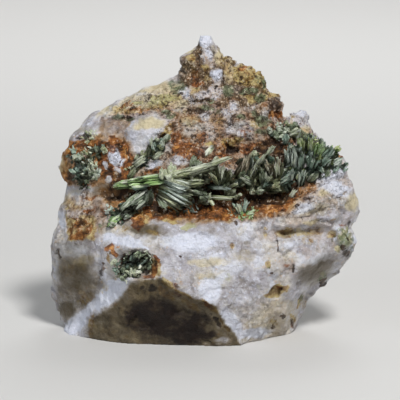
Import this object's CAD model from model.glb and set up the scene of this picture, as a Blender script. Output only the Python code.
import logging
import math
from collections.abc import Iterable, Sequence
from dataclasses import dataclass, field
from enum import Enum
from typing import Any

import bmesh
import bpy
import numpy as np
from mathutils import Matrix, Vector, noise
from mathutils.bvhtree import BVHTree


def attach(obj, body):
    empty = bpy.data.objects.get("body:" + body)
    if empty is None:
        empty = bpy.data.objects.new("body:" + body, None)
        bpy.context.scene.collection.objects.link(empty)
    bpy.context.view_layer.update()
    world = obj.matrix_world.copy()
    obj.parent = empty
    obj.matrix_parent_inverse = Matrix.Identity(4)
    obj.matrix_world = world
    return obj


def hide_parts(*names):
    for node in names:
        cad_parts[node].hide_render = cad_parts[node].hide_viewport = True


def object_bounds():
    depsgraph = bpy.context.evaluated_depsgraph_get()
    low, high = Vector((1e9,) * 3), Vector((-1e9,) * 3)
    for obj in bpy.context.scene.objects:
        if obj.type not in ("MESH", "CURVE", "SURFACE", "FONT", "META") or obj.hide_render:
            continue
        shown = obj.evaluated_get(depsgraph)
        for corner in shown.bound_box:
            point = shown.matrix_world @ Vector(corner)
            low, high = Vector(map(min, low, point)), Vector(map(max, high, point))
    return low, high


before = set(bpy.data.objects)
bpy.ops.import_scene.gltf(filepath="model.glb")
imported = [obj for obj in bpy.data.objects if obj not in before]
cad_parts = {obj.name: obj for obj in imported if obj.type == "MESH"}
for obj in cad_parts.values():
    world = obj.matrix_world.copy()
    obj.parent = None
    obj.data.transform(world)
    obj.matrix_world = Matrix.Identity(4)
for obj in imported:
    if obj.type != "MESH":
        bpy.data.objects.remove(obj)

MM = 0.001
CAD_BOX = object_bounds()
log = logging.getLogger("pyromorphite")

Colour = tuple[float, float, float, float]
Place = tuple[float, float]


def srgb(red: int, green: int, blue: int) -> Colour:
    """Turns a display colour into the linear one that shaders use.

    Args:
        red: Red, from 0 to 255.
        green: Green, from 0 to 255.
        blue: Blue, from 0 to 255.

    Returns:
        The linear colour, opaque.
    """
    shares = [c / 255 for c in (red, green, blue)]
    return (*[c / 12.92 if c <= 0.04045 else ((c + 0.055) / 1.055) ** 2.4 for c in shares], 1.0)


@dataclass(frozen=True)
class Survey:
    """How places on the display face are given: in millimetres across and up, as the camera sees them."""

    elevation: float = math.radians(12.0)
    distance: float = 600.0
    aim: tuple[float, float, float] = (-0.873, 2.112, 32.4)

    def eye(self) -> Vector:
        """The place that the survey is seen from, in millimetres."""
        back = Vector((0.0, -math.cos(self.elevation), math.sin(self.elevation)))
        return Vector(self.aim) + back * self.distance

    def sight(self, place: Place) -> Vector:
        """The direction in which the eye sees a place.

        Args:
            place: The place, across and up.

        Returns:
            The direction, of length 1.
        """
        across, up = place
        rise, level = math.sin(self.elevation), math.cos(self.elevation)
        on_plane = Vector(self.aim) + Vector((across, up * rise, up * level))
        return (on_plane - self.eye()).normalized()

    def point(self, place: Place, depth: float) -> Vector:
        """The point at this depth, in millimetres from the aim towards the back, that is seen at a place."""
        eye, sight = self.eye(), self.sight(place)
        return eye + sight * ((self.aim[1] + depth - eye.y) / sight.y)

    def seen(self, points: np.ndarray) -> np.ndarray:
        """Says where points are seen.

        Args:
            points: Points in millimetres, one a row.

        Returns:
            Across and up for each point.
        """
        rise, level = math.sin(self.elevation), math.cos(self.elevation)
        x, y, z = (points - np.array(self.aim)).T
        spread = 1 + (y * level - z * rise) / self.distance
        return np.stack([x / spread, (z * level + y * rise) / spread], axis=1)


SURVEY = Survey()


class Sock:
    """One output socket that can be used in arithmetic, which adds Math nodes to its tree."""

    def __init__(self, wiring: "Wiring", socket: bpy.types.NodeSocket) -> None:
        """Keeps the socket, and the wiring that it belongs to."""
        self.wiring = wiring
        self.socket = socket

    def also(self, output: str) -> "Sock":
        """Another output of the same node."""
        return Sock(self.wiring, self.socket.node.outputs[output])

    def _math(self, operation: str, *terms: Any) -> "Sock":
        """The result of a Math node on these terms."""
        return self.wiring.node("ShaderNodeMath", {"operation": operation}, dict(enumerate(terms)))

    def __add__(self, other: Any) -> "Sock":
        """This plus a value."""
        return self._math("ADD", self, other)

    def __radd__(self, other: Any) -> "Sock":
        """A value plus this."""
        return self._math("ADD", other, self)

    def __sub__(self, other: Any) -> "Sock":
        """This minus a value."""
        return self._math("SUBTRACT", self, other)

    def __rsub__(self, other: Any) -> "Sock":
        """A value minus this."""
        return self._math("SUBTRACT", other, self)

    def __mul__(self, other: Any) -> "Sock":
        """This times a value."""
        return self._math("MULTIPLY", self, other)

    def __rmul__(self, other: Any) -> "Sock":
        """A value times this."""
        return self._math("MULTIPLY", other, self)

    def __truediv__(self, other: Any) -> "Sock":
        """This over a value."""
        return self._math("DIVIDE", self, other)

    def __rtruediv__(self, other: Any) -> "Sock":
        """A value over this."""
        return self._math("DIVIDE", other, self)

    def __neg__(self) -> "Sock":
        """This with its sign turned."""
        return self._math("MULTIPLY", self, -1.0)

    def __pow__(self, other: Any) -> "Sock":
        """This to a power."""
        return self._math("POWER", self, other)

    def larger(self, other: Any) -> "Sock":
        """The larger of this and another value."""
        return self._math("MAXIMUM", self, other)


class Wiring:
    """Adds nodes to one shader or geometry tree."""

    def __init__(self, tree: bpy.types.NodeTree) -> None:
        """Keeps the tree."""
        self.tree = tree

    def node(
        self,
        kind: str,
        settings: dict[str, Any] | None = None,
        values: dict[str | int, Any] | None = None,
        out: str | int = 0,
    ) -> Sock:
        """Adds one node.

        Args:
            kind: The node's type.
            settings: Its properties, set first. "stops" gives a colour ramp's positions and colours.
            values: A value or a link for each input, by identifier, name or index.
            out: The output to hand back.

        Returns:
            That output.
        """
        made = self.tree.nodes.new(kind)
        for name, setting in (settings or {}).items():
            if name == "stops":
                elements = made.color_ramp.elements
                while len(elements) < len(setting):
                    elements.new(1.0)
                for element, (position, colour) in zip(elements, setting):
                    element.position = position
                    element.color = colour
            else:
                setattr(made, name, setting)
        for key, value in (values or {}).items():
            self.feed(self.entry(made, key), value)
        return Sock(self, made.outputs[out]) if len(made.outputs) else Sock(self, made.inputs[0])

    @staticmethod
    def entry(made: bpy.types.Node, key: str | int) -> bpy.types.NodeSocket:
        """Finds one of a node's inputs.

        Args:
            made: The node.
            key: The input's identifier, name or index.

        Returns:
            The input.
        """
        if isinstance(key, int):
            return made.inputs[key]
        by_identifier = [s for s in made.inputs if s.identifier == key]
        return (by_identifier or [s for s in made.inputs if s.name == key and s.enabled])[0]

    def feed(self, socket: bpy.types.NodeSocket, value: Any) -> None:
        """Links a Sock to an input, or sets the input's own value.

        Args:
            socket: The input.
            value: The Sock or the value.
        """
        if isinstance(value, Sock):
            self.tree.links.new(value.socket, socket)
        else:
            socket.default_value = value

    def mixed(self, share: Any, first: Any, second: Any, blend: str = "MIX") -> Sock:
        """A colour between two.

        Args:
            share: How much of the second there is, from 0 to 1.
            first: The first colour.
            second: The second colour.
            blend: How the second is laid on the first.

        Returns:
            The mixed colour.
        """
        settings = {"data_type": "RGBA", "clamp_factor": True, "blend_type": blend}
        values = {"Factor_Float": share, "A_Color": first, "B_Color": second}
        made = self.node("ShaderNodeMix", settings, values).socket.node
        return Sock(self, next(s for s in made.outputs if s.identifier == "Result_Color"))

    def tinted(self, share: Any, first: Any, tint: Any) -> Sock:
        """A colour seen through a tint, fully where share is 1."""
        return self.mixed(share, first, tint, "MULTIPLY")

    def grains(self, place: Sock, size: float, wander: float = 0.35) -> tuple[Sock, Sock, Sock]:
        """Splits space into irregular grains.

        Args:
            place: Where, in millimetres.
            size: A grain's size.
            wander: How far its borders stray, in grain sizes.

        Returns:
            A random tone for the grain, another one, and how far inside its border the place is, from 0 to 1.
        """
        shrunk = self.scaled(place, 1 / size)
        values = {"Vector": shrunk, "Scale": 1.1, "Detail": 2.0, "Roughness": 0.6}
        noise = self.node("ShaderNodeTexNoise", {}, values, "Color")
        strayed = self.node("ShaderNodeVectorMath", {"operation": "MULTIPLY_ADD"}, {
            0: noise, 1: (wander * 2, wander * 2, wander * 2), 2: shrunk,
        }, "Vector")
        cell = self.node("ShaderNodeTexVoronoi", {"feature": "F1"}, {
            "Vector": strayed, "Scale": 1.0,
        }, "Color")
        edge = self.node("ShaderNodeTexVoronoi", {"feature": "DISTANCE_TO_EDGE"}, {
            "Vector": strayed, "Scale": 1.0,
        }, "Distance")
        tones = self.node("ShaderNodeSeparateXYZ", {}, {"Vector": cell}, "X")
        return tones, tones.also("Y"), self.ramp(edge, 0.0, 0.42)

    def ramp(self, value: Any, low: float, high: float, start: float = 0.0, end: float = 1.0) -> Sock:
        """A smooth step.

        Args:
            value: What the step depends on.
            low: The value where it starts.
            high: The value where it ends.
            start: The result up to low.
            end: The result from high on.

        Returns:
            The result.
        """
        settings = {"interpolation_type": "SMOOTHSTEP", "clamp": True}
        values = {"Value": value, "From Min": low, "From Max": high, "To Min": start, "To Max": end}
        return self.node("ShaderNodeMapRange", settings, values, "Result")

    def noise(self, place: Sock, size: float, detail: float = 2.0, rough: float = 0.5) -> Sock:
        """Cloudy noise with features of about this size, in the units of place."""
        values = {"Vector": place, "Scale": 1 / size, "Detail": detail, "Roughness": rough}
        return self.node("ShaderNodeTexNoise", {}, values, "Fac")

    def moved(self, place: Sock, by: tuple[float, float, float]) -> Sock:
        """A place shifted by a fixed step."""
        return self.node("ShaderNodeVectorMath", {"operation": "ADD"}, {0: place, 1: by}, "Vector")

    def scaled(self, place: Sock, by: Any) -> Sock:
        """A place multiplied by a number."""
        return self.node("ShaderNodeVectorMath", {"operation": "SCALE"}, {0: place, "Scale": by}, "Vector")

    def squeezed(self, place: Sock, by: tuple[float, float, float]) -> Sock:
        """A place multiplied by a number for each axis, which draws a pattern out along the small ones."""
        return self.node("ShaderNodeVectorMath", {"operation": "MULTIPLY"}, {0: place, 1: by}, "Vector")

    def facets(self, place: Sock, size: Any) -> tuple[Sock, Sock]:
        """Splits space into cells and tilts a flat facet in each.

        Args:
            place: Where, in millimetres.
            size: A cell's size.

        Returns:
            The facet's height, in cell sizes, and how near the cell's border is, from 0 to 1.
        """
        shrunk = self.scaled(place, 1.0 / size)
        wander = self.node("ShaderNodeTexNoise", {}, {"Vector": shrunk, "Scale": 1.3, "Detail": 1.0}, "Color")
        warped = self.node("ShaderNodeVectorMath", {"operation": "MULTIPLY_ADD"}, {
            0: wander, 1: (0.5, 0.5, 0.5), 2: shrunk,
        }, "Vector")
        cell = self.node("ShaderNodeTexVoronoi", {"feature": "F1"}, {"Vector": warped, "Scale": 1.0}, "Color")
        from_middle = self.node("ShaderNodeVectorMath", {"operation": "SUBTRACT"}, {
            0: warped, 1: cell.also("Position"),
        }, "Vector")
        tilt = self.node("ShaderNodeVectorMath", {"operation": "SUBTRACT"}, {
            0: cell, 1: (0.5, 0.5, 0.5),
        }, "Vector")
        height = self.node("ShaderNodeVectorMath", {"operation": "DOT_PRODUCT"}, {
            0: from_middle, 1: tilt,
        }, "Value")
        edge = self.node("ShaderNodeTexVoronoi", {"feature": "DISTANCE_TO_EDGE"}, {
            "Vector": warped, "Scale": 1.0,
        }, "Distance")
        return height * 1.6, self.ramp(edge, 0.0, 0.16, 1.0, 0.0)


class GeometryTree(Wiring):
    """A geometry tree with named inputs, used on one object and then baked into a plain mesh."""

    def __init__(self, name: str) -> None:
        """Makes an empty tree.

        Args:
            name: The tree's name.
        """
        super().__init__(bpy.data.node_groups.new(name, "GeometryNodeTree"))
        self.tree.interface.new_socket("Geometry", in_out="INPUT", socket_type="NodeSocketGeometry")
        self.tree.interface.new_socket("Geometry", in_out="OUTPUT", socket_type="NodeSocketGeometry")
        self.entries = self.tree.nodes.new("NodeGroupInput")
        self.exit = self.tree.nodes.new("NodeGroupOutput")
        self.identifiers: dict[str, str] = {}

    def geometry(self) -> Sock:
        """The geometry that comes in."""
        return Sock(self, self.entries.outputs["Geometry"])

    def named(self, name: str, kind: str = "NodeSocketFloat") -> Sock:
        """Adds a named input to the tree.

        Args:
            name: The input's name.
            kind: The type of its socket.

        Returns:
            The input, as the tree reads it.
        """
        made = self.tree.interface.new_socket(name, in_out="INPUT", socket_type=kind)
        self.identifiers[name] = made.identifier
        return Sock(self, self.entries.outputs[name])

    def attribute(self, name: str, data_type: str = "FLOAT") -> Sock:
        """Reads a named attribute."""
        kind = "GeometryNodeInputNamedAttribute"
        return self.node(kind, {"data_type": data_type}, {"Name": name}, "Attribute")

    def ends_in(self, geometry: Sock, material: Sock) -> None:
        """Realizes the instances, sets the material and closes the tree.

        Args:
            geometry: What the tree has made.
            material: Its material.
        """
        realized = self.node("GeometryNodeRealizeInstances", {}, {"Geometry": geometry}, "Geometry")
        dressed = self.node("GeometryNodeSetMaterial", {}, {
            "Geometry": realized, "Material": material,
        }, "Geometry")
        self.feed(self.exit.inputs["Geometry"], dressed)

    def grown(self, base: bpy.types.Object, values: dict[str, Any], name: str) -> bpy.types.Object:
        """Runs the tree on an object.

        Args:
            base: The object whose mesh goes in. It is removed.
            values: A value for each named input.
            name: The name of the piece that comes out.

        Returns:
            A new object with a plain mesh and no modifier.
        """
        modifier = base.modifiers.new("growth", "NODES")
        modifier.node_group = self.tree
        for key, value in values.items():
            modifier[self.identifiers[key]] = value
        bpy.context.view_layer.update()
        evaluated = base.evaluated_get(bpy.context.evaluated_depsgraph_get())
        mesh = bpy.data.meshes.new_from_object(evaluated)
        base.modifiers.clear()
        bpy.data.objects.remove(base)
        mesh.name = name
        made = bpy.data.objects.new(name, mesh)
        bpy.context.scene.collection.objects.link(made)
        return made


def object_of(name: str, mesh: bpy.types.Mesh) -> bpy.types.Object:
    """Links a new object that shows a mesh.

    Args:
        name: Its name.
        mesh: Its mesh.

    Returns:
        The object.
    """
    made = bpy.data.objects.new(name, mesh)
    bpy.context.scene.collection.objects.link(made)
    return made


def points_of(mesh: bpy.types.Mesh) -> np.ndarray:
    """Reads a mesh's points.

    Args:
        mesh: The mesh.

    Returns:
        The points in millimetres, one a row.
    """
    flat = np.empty(len(mesh.vertices) * 3, np.float32)
    mesh.vertices.foreach_get("co", flat)
    return flat.reshape(-1, 3) / MM


def normals_of(mesh: bpy.types.Mesh) -> np.ndarray:
    """Reads the normals at a mesh's points.

    Args:
        mesh: The mesh.

    Returns:
        The normals, one a row.
    """
    flat = np.empty(len(mesh.vertices) * 3, np.float32)
    mesh.vertex_normals.foreach_get("vector", flat)
    return flat.reshape(-1, 3)


def kept_inside(mesh: bpy.types.Mesh) -> None:
    """Flattens whatever stands out of the solid model's box.

    Args:
        mesh: The mesh, changed in place.
    """
    low, high = (np.array(corner) / MM for corner in CAD_BOX)
    inside = np.clip(points_of(mesh), low, high) * MM
    mesh.vertices.foreach_set("co", inside.astype(np.float32).ravel())
    mesh.update()


def smoothstep(values: np.ndarray, low: float, high: float) -> np.ndarray:
    """A smooth step from 0 at low to 1 at high."""
    share = np.clip((values - low) / (high - low), 0.0, 1.0)
    return share * share * (3 - 2 * share)


def signed_noise(points: np.ndarray, size: float, shift: float) -> np.ndarray:
    """Fractal noise from about -1 to 1 at each point, with features of this size."""
    places = points / size + shift
    return np.array([noise.fractal(Vector(p), 0.7, 2.0, 3) for p in places])


class Stain(Enum):
    """What can lie on or in the quartz. Each is a named attribute of the mesh."""

    WASH = "wash"
    SHADE = "shade"
    RUST = "rust"
    UMBER = "umber"
    OCHRE = "ochre"
    CREAM = "cream"
    MOSS = "moss"
    LIME = "lime"
    CLEAR = "clear"
    SNOW = "snow"
    SUGAR = "sugar"
    TAN = "tan"
    DENT = "dent"
    BULGE = "bulge"


@dataclass(frozen=True)
class Dab:
    """One hand-placed patch of a stain, or of relief, on the display face.

    place is its middle, half its half width and half height, all in millimetres, turn its anticlockwise
    turn in degrees, and weight its strength. A dent's weight is its depth in millimetres. A weight below 0
    takes the stain away.
    """

    stain: Stain
    place: Place
    half: Place
    turn: float = 0.0
    weight: float = 1.0

    def cover(self, seen: np.ndarray) -> np.ndarray:
        """Says how much of the dab there is.

        Args:
            seen: Seen places, one a row.

        Returns:
            The amount at each, up to the weight.
        """
        angle = math.radians(self.turn)
        across, up = (seen - np.array(self.place)).T
        along = (across * math.cos(angle) + up * math.sin(angle)) / self.half[0]
        beside = (up * math.cos(angle) - across * math.sin(angle)) / self.half[1]
        return self.weight * (1 - smoothstep(np.hypot(along, beside), 0.4, 1.35))


@dataclass(frozen=True)
class Area:
    """A hand-drawn area of a stain on the display face, with its outline and the width of its soft border."""

    stain: Stain
    outline: tuple[Place, ...]
    soft: float = 0.5
    weight: float = 1.0

    def cover(self, seen: np.ndarray) -> np.ndarray:
        """Says how much of the area's stain there is.

        Args:
            seen: Seen places, one a row.

        Returns:
            The amount at each, up to the weight.
        """
        nearest = np.full(len(seen), np.inf)
        inside = np.zeros(len(seen), bool)
        corners = np.array(self.outline)
        for start, end in zip(corners, np.roll(corners, -1, axis=0)):
            side = end - start
            share = np.clip(((seen - start) @ side) / (side @ side), 0.0, 1.0)
            nearest = np.minimum(nearest, np.hypot(*(seen - start - share[:, None] * side).T))
            if start[1] != end[1]:
                crossing = start[0] + (seen[:, 1] - start[1]) * side[0] / side[1]
                inside ^= ((start[1] > seen[:, 1]) != (end[1] > seen[:, 1])) & (seen[:, 0] < crossing)
        return self.weight * smoothstep(np.where(inside, nearest, -nearest), -self.soft, self.soft)


R, U, O, C, M, L, G, W, S, D, X, K, T, B = (
    Stain.RUST, Stain.UMBER, Stain.OCHRE, Stain.CREAM, Stain.MOSS, Stain.LIME, Stain.CLEAR, Stain.SNOW,
    Stain.SUGAR, Stain.DENT, Stain.WASH, Stain.SHADE, Stain.TAN, Stain.BULGE,
)

BULGES = [
    Dab(B, (11.8, 32.0), (3.2, 2.2), -10, 1.5), Dab(B, (14.6, 28.8), (2.4, 2.6), 0, 1.1),
    Dab(B, (4.2, 31.0), (1.5, 1.8), 0, 1.1), Dab(B, (3.8, 27.4), (2.0, 2.2), 0, 1.0),
    Dab(B, (-3.0, 34.6), (1.7, 1.6), 0, 1.0), Dab(B, (-4.2, 31.8), (1.5, 2.0), 0, 0.8),
    Dab(B, (19.6, 24.8), (2.0, 2.2), 0, 1.0), Dab(B, (24.5, 21.6), (2.8, 2.4), 0, 1.2),
    Dab(B, (1.4, 40.6), (1.7, 2.2), 0, 1.0), Dab(B, (7.6, 34.6), (1.2, 1.8), 0, 0.8),
    Dab(B, (33.5, 7.0), (3.0, 1.4), 10, 0.9), Dab(B, (35.5, 2.5), (2.6, 1.8), 0, 0.8),
    Dab(B, (30.5, 0.5), (2.6, 1.4), 10, 0.7), Dab(B, (-0.5, 27.2), (2.6, 1.2), 0, 0.7),
    Dab(B, (9.6, 25.0), (2.4, 1.8), 0, 0.7), Dab(B, (36.0, -9.5), (2.0, 2.6), 0, 0.8),
    Dab(B, (28.0, -1.8), (1.6, 0.8), 12, 0.8), Dab(B, (33.4, -4.0), (1.4, 0.8), 10, 0.8),
    Dab(B, (31.2, 2.2), (1.4, 0.7), 14, 0.7), Dab(B, (36.6, 0.2), (1.2, 0.9), 0, 0.8),
    Dab(B, (29.6, -4.4), (1.6, 0.6), 6, 0.6), Dab(D, (31.4, 4.2), (2.4, 0.5), 14, 0.9),
    Dab(D, (34.8, 1.2), (2.0, 0.5), 20, 0.9), Dab(D, (31.2, -2.6), (2.6, 0.5), 14, 0.9),
    Dab(D, (35.8, -2.8), (0.6, 1.6), 20, 0.9), Dab(D, (26.4, -4.2), (2.0, 0.4), 6, 0.7),
]

AREAS = [
    Area(X, (
        (-25.5, 21), (-17.5, 23.5), (-8.75, 25), (-2.5, 24), (6.25, 26.25), (16.25, 27.5), (21.5, 22.5),
        (23, 16.25),
        (22, 8), (10, 7.5), (0, 8), (-7.5, 5.75), (-15, 5), (-18, 7), (-16.25, 10.5), (-13, 13), (-9.25, 18),
        (-8, 20.5), (-12.5, 21.5), (-18.75, 20.5),
    ), 1.5, 0.52),
    Area(S, (
        (-25.5, 21), (-17.5, 23.5), (-8.75, 27), (-4, 31), (1, 40), (6, 38), (16.25, 31), (21.5, 22.5),
        (25, 16.25),
        (26, 8), (10, 3), (0, 3), (-7.5, 3), (-15, 5), (-18, 7), (-16.25, 10.5), (-13, 13), (-9.25, 18),
        (-8, 20.5), (-12.5, 21.5), (-18.75, 20.5),
    ), 1.5, 1.0),
    Area(O, ((-23.75, 20.5), (-20.5, 24), (-15, 27.5), (-8.75, 29), (-3.75, 28.5), (-2.5, 24), (-8.75, 24),
             (-17.5, 23)), 1.2, 0.42),
    Area(C, ((-25, 20.5), (-20.5, 24.5), (-15, 28), (-8.75, 30), (-4.5, 29), (-2.5, 24), (-8.75, 23),
             (-17.5, 22)), 1.2, 0.8),
    Area(X, ((-25, 20.5), (-20.5, 24.5), (-15, 28), (-8.75, 30), (-4.5, 29), (-2.5, 24), (-8.75, 23),
             (-17.5, 22)), 1.2, 0.3),
    Area(X, ((-4.75, 30), (-3.5, 34), (-1.5, 37), (0, 40), (1.25, 35), (3.5, 34.5), (5.5, 37), (8, 34),
        (9, 29),
             (7, 25.5), (1.25, 25), (-3, 26.5)), 0.9, 0.42),
    Area(T, ((-5.5, 30), (-4.5, 35), (-1.5, 38), (0, 41), (4, 41), (5.5, 37.5), (8.5, 35), (10, 30),
        (16, 31),
             (18, 25), (9, 22.5), (2, 24.5), (-3, 26)), 0.8, 0.66),
    Area(T, ((0, 42), (3.5, 42), (4.5, 37), (3.4, 33.5), (1, 33.5), (0.2, 38)), 0.6, -1),
    Area(X, ((0, 42), (3.5, 42), (4.5, 37), (3.4, 33.5), (1, 33.5), (0.2, 38)), 0.6, -1),
    Area(O, ((0, 42), (3.5, 42), (4.5, 37), (3.4, 33.5), (1, 33.5), (0.2, 38)), 0.6, -1),
    Area(O, ((8, 33.5), (11.5, 34.25), (14.5, 32.5), (17, 29.5), (17, 25), (13, 24), (10, 26), (8, 29)),
        1, 0.95),
    Area(X, ((8, 33.5), (14.5, 33), (19, 27), (22, 22), (21.5, 18), (14, 22), (10, 26)), 1.2, 0.45),
    Area(R, ((-33.5, 13.25), (-30, 14.25), (-25, 14.75), (-21.25, 15.75), (-18.5, 14.25), (-16.75, 11.25),
             (-16.75, 8), (-18, 5), (-22, 3.75), (-25.5, 5.75), (-26.25, 8), (-24, 9.25), (-23.5, 12),
             (-25.5, 12.75), (-30, 11.75), (-33.5, 10.75)), 0.8, 0.95),
    Area(X, ((-35, 14), (-25, 17), (-18, 16), (-15.5, 11), (-17, 4), (-26, 3), (-35, 3)), 1.2, 0.6),
    Area(R, ((-22.25, 14), (-20.5, 13.5), (-20, 11.25), (-19, 10), (-19.5, 8.25), (-21.25, 8), (-23, 10),
             (-23.25, 11.75)), 0.5, -0.95),
    Area(X, ((-22.25, 14), (-20.5, 13.5), (-20, 11.25), (-19, 10), (-19.5, 8.25), (-21.25, 8), (-23, 10),
             (-23.25, 11.75)), 0.5, -0.9),
    Area(W, ((-22.25, 14), (-20.5, 13.5), (-20, 11.25), (-19, 10), (-19.5, 8.25), (-21.25, 8), (-23, 10),
             (-23.25, 11.75)), 0.5, 1),
    Area(W, ((-18.5, 14.75), (-17, 17.5), (-12, 18.25), (-9.25, 18.25), (-11.75, 14.5), (-14, 11.75),
             (-16, 10.75), (-16.75, 12.5)), 0.3, 0.5),
    Area(C, ((-17.5, 17.25), (-15, 20.25), (-12, 21), (-8.5, 20.25), (-9, 18.25), (-15, 17.5)), 1.3, 0.9),
    Area(S, ((-18.5, 14.75), (-17, 17.5), (-15, 20.25), (-12, 21), (-8.5, 20.25), (-9.25, 18.25),
        (-11.75, 14.5),
             (-14, 11.75), (-16, 10.75), (-16.75, 12.5)), 0.5, -1),
    Area(K, ((-24, 20.5), (-18, 20.5), (-18.6, 16), (-22, 15.5), (-25, 17)), 1.6, 0.12),
    Area(X, ((-25, 21), (-16, 21.2), (-18.4, 17), (-19.2, 14.5), (-22, 15.5), (-26, 17)), 0.7, 0.46),
    Area(U, ((-25.5, 5), (-12.5, 6), (0, 5.5), (9, 4), (15.5, 6), (25, 8.5), (29, 7.5), (28, 4.5), (24, 1.5),
             (21, -1), (15.5, -2), (10, -1.5), (1.25, -1.5), (-2.5, -1.5), (-10, -1.25), (-15, 0.5),
             (-22.5, 1)), 1, 0.8),
    Area(R, ((-18, 0), (-10, -3.5), (-3.75, -5), (1.25, -4.75), (8.75, -5), (12.5, -3.5), (21.25, -3),
             (24.25, 0.75), (26.25, 4), (20, 4), (10, 3), (0, 2), (-12.5, 2)), 0.9, 1),
    Area(X, ((-27, 3), (-12, 7), (10, 6), (30, 9), (29, 2), (22, -4.5), (0, -6.5), (-12, -5.5), (-22, -6)),
         1.5, 0.6),
    Area(X, ((-34, 1), (-27.5, 2.5), (-22, 0.75), (-19, -2.5), (-22, -6), (-25.5, -10), (-33.5, -10),
             (-34.5, -3.75)), 1.2, 0.43),
    Area(O, ((-34, -3.5), (-30, -4.5), (-26.25, -3.5), (-25.5, -7.5), (-26, -10.5), (-33.5, -10.5)),
        0.9, 0.75),
    Area(W, ((-23, -20.5), (-20.5, -19.5), (-16, -20.75), (-19.5, -23), (-23, -25.25), (-26.5, -27),
             (-28.5, -29.5), (-30.25, -33), (-34, -34.5), (-34.5, -31.75), (-31.25, -28.75), (-27.5, -25.75),
             (-25.5, -23)), 0.5, 1),
    Area(K, ((-14, -20), (-10, -19.5), (-8, -21.25), (-5.5, -23), (-1.25, -24.5), (3.75, -26.25),
             (5.5, -29.5), (8, -32.5), (10.25, -36.5), (0, -38.5), (-12.5, -38.5), (-16, -30)), 0.5, 0.6),
    Area(K, ((-17, -20.5), (-13, -20), (-6, -27), (-6, -38.5), (-12.5, -38.5), (-22.5, -38), (-28, -37.5),
             (-28.6, -33.5), (-27.6, -30), (-24.5, -27.6), (-20.5, -25.2)), 1.5, 0.55),
    Area(K, ((-11, -23.5), (-9, -22.8), (-6, -24.4), (0.5, -28), (2.8, -31.5), (5.6, -35.5), (5, -38.5),
             (-8, -38.5), (-6.5, -31)), 3, 0.8),
    Area(K, ((0, -33), (6, -33), (9, -36), (8, -38.5), (-2, -38.5)), 1.6, -0.22),
    Area(K, ((-34.5, -16), (-30, -14.5), (-26, -15.75), (-24, -20.75), (-26.25, -25), (-30, -28),
        (-33.5, -31.25),
             (-36, -27.5), (-36.5, -21.25)), 1.6, 0.36),
    Area(K, ((-36, -9.5), (-27, -9.5), (-25.5, -16), (-27, -22), (-36, -20)), 1.6, 0.28),
    Area(U, ((19, -23.5), (20, -21.8), (22, -21.75), (21.25, -23.25), (19.5, -24.5)), 0.6, 0.4),
    Area(O, ((16, -24.25), (17.5, -22.5), (20, -20.6), (22.5, -21.4), (21.25, -23.25), (19.5, -24.5),
        (17.5, -25)),
         0.5, 0.9),
    Area(K, ((16, -24.25), (17.5, -22.5), (20, -21), (22, -21.75), (21.25, -23.25), (19.5, -24.5),
        (17.5, -25)),
         0.4, 0.22),
    Area(W, ((21, 20), (22, 23.25), (24.5, 24.25), (27, 23.5), (28, 20.5), (27.5, 18), (24.5, 18),
        (22, 18.25)),
         0.5, 0.5),
    Area(U, ((14, 15.5), (20, 17), (25, 16), (24, 12.5), (21.5, 8.5), (15.5, 10)), 1, 0.7),
    Area(R, ((14, 15.5), (20, 17), (25, 16), (24, 12.5), (21.5, 8.5), (15.5, 10)), 1, 0.7),
    Area(M, ((33.5, -8), (36, -6), (38, -7.5), (40.25, -11.5), (39, -14), (36, -15.5), (33.5, -13),
             (32.5, -10)), 0.7, 0.5),
    Area(C, ((8, -36.5), (11, -30.5), (15.5, -25.5), (22.5, -24.25), (25.5, -27.5), (23.5, -33.5),
        (19, -36.5)),
         1.2, 0.45),
]
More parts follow.
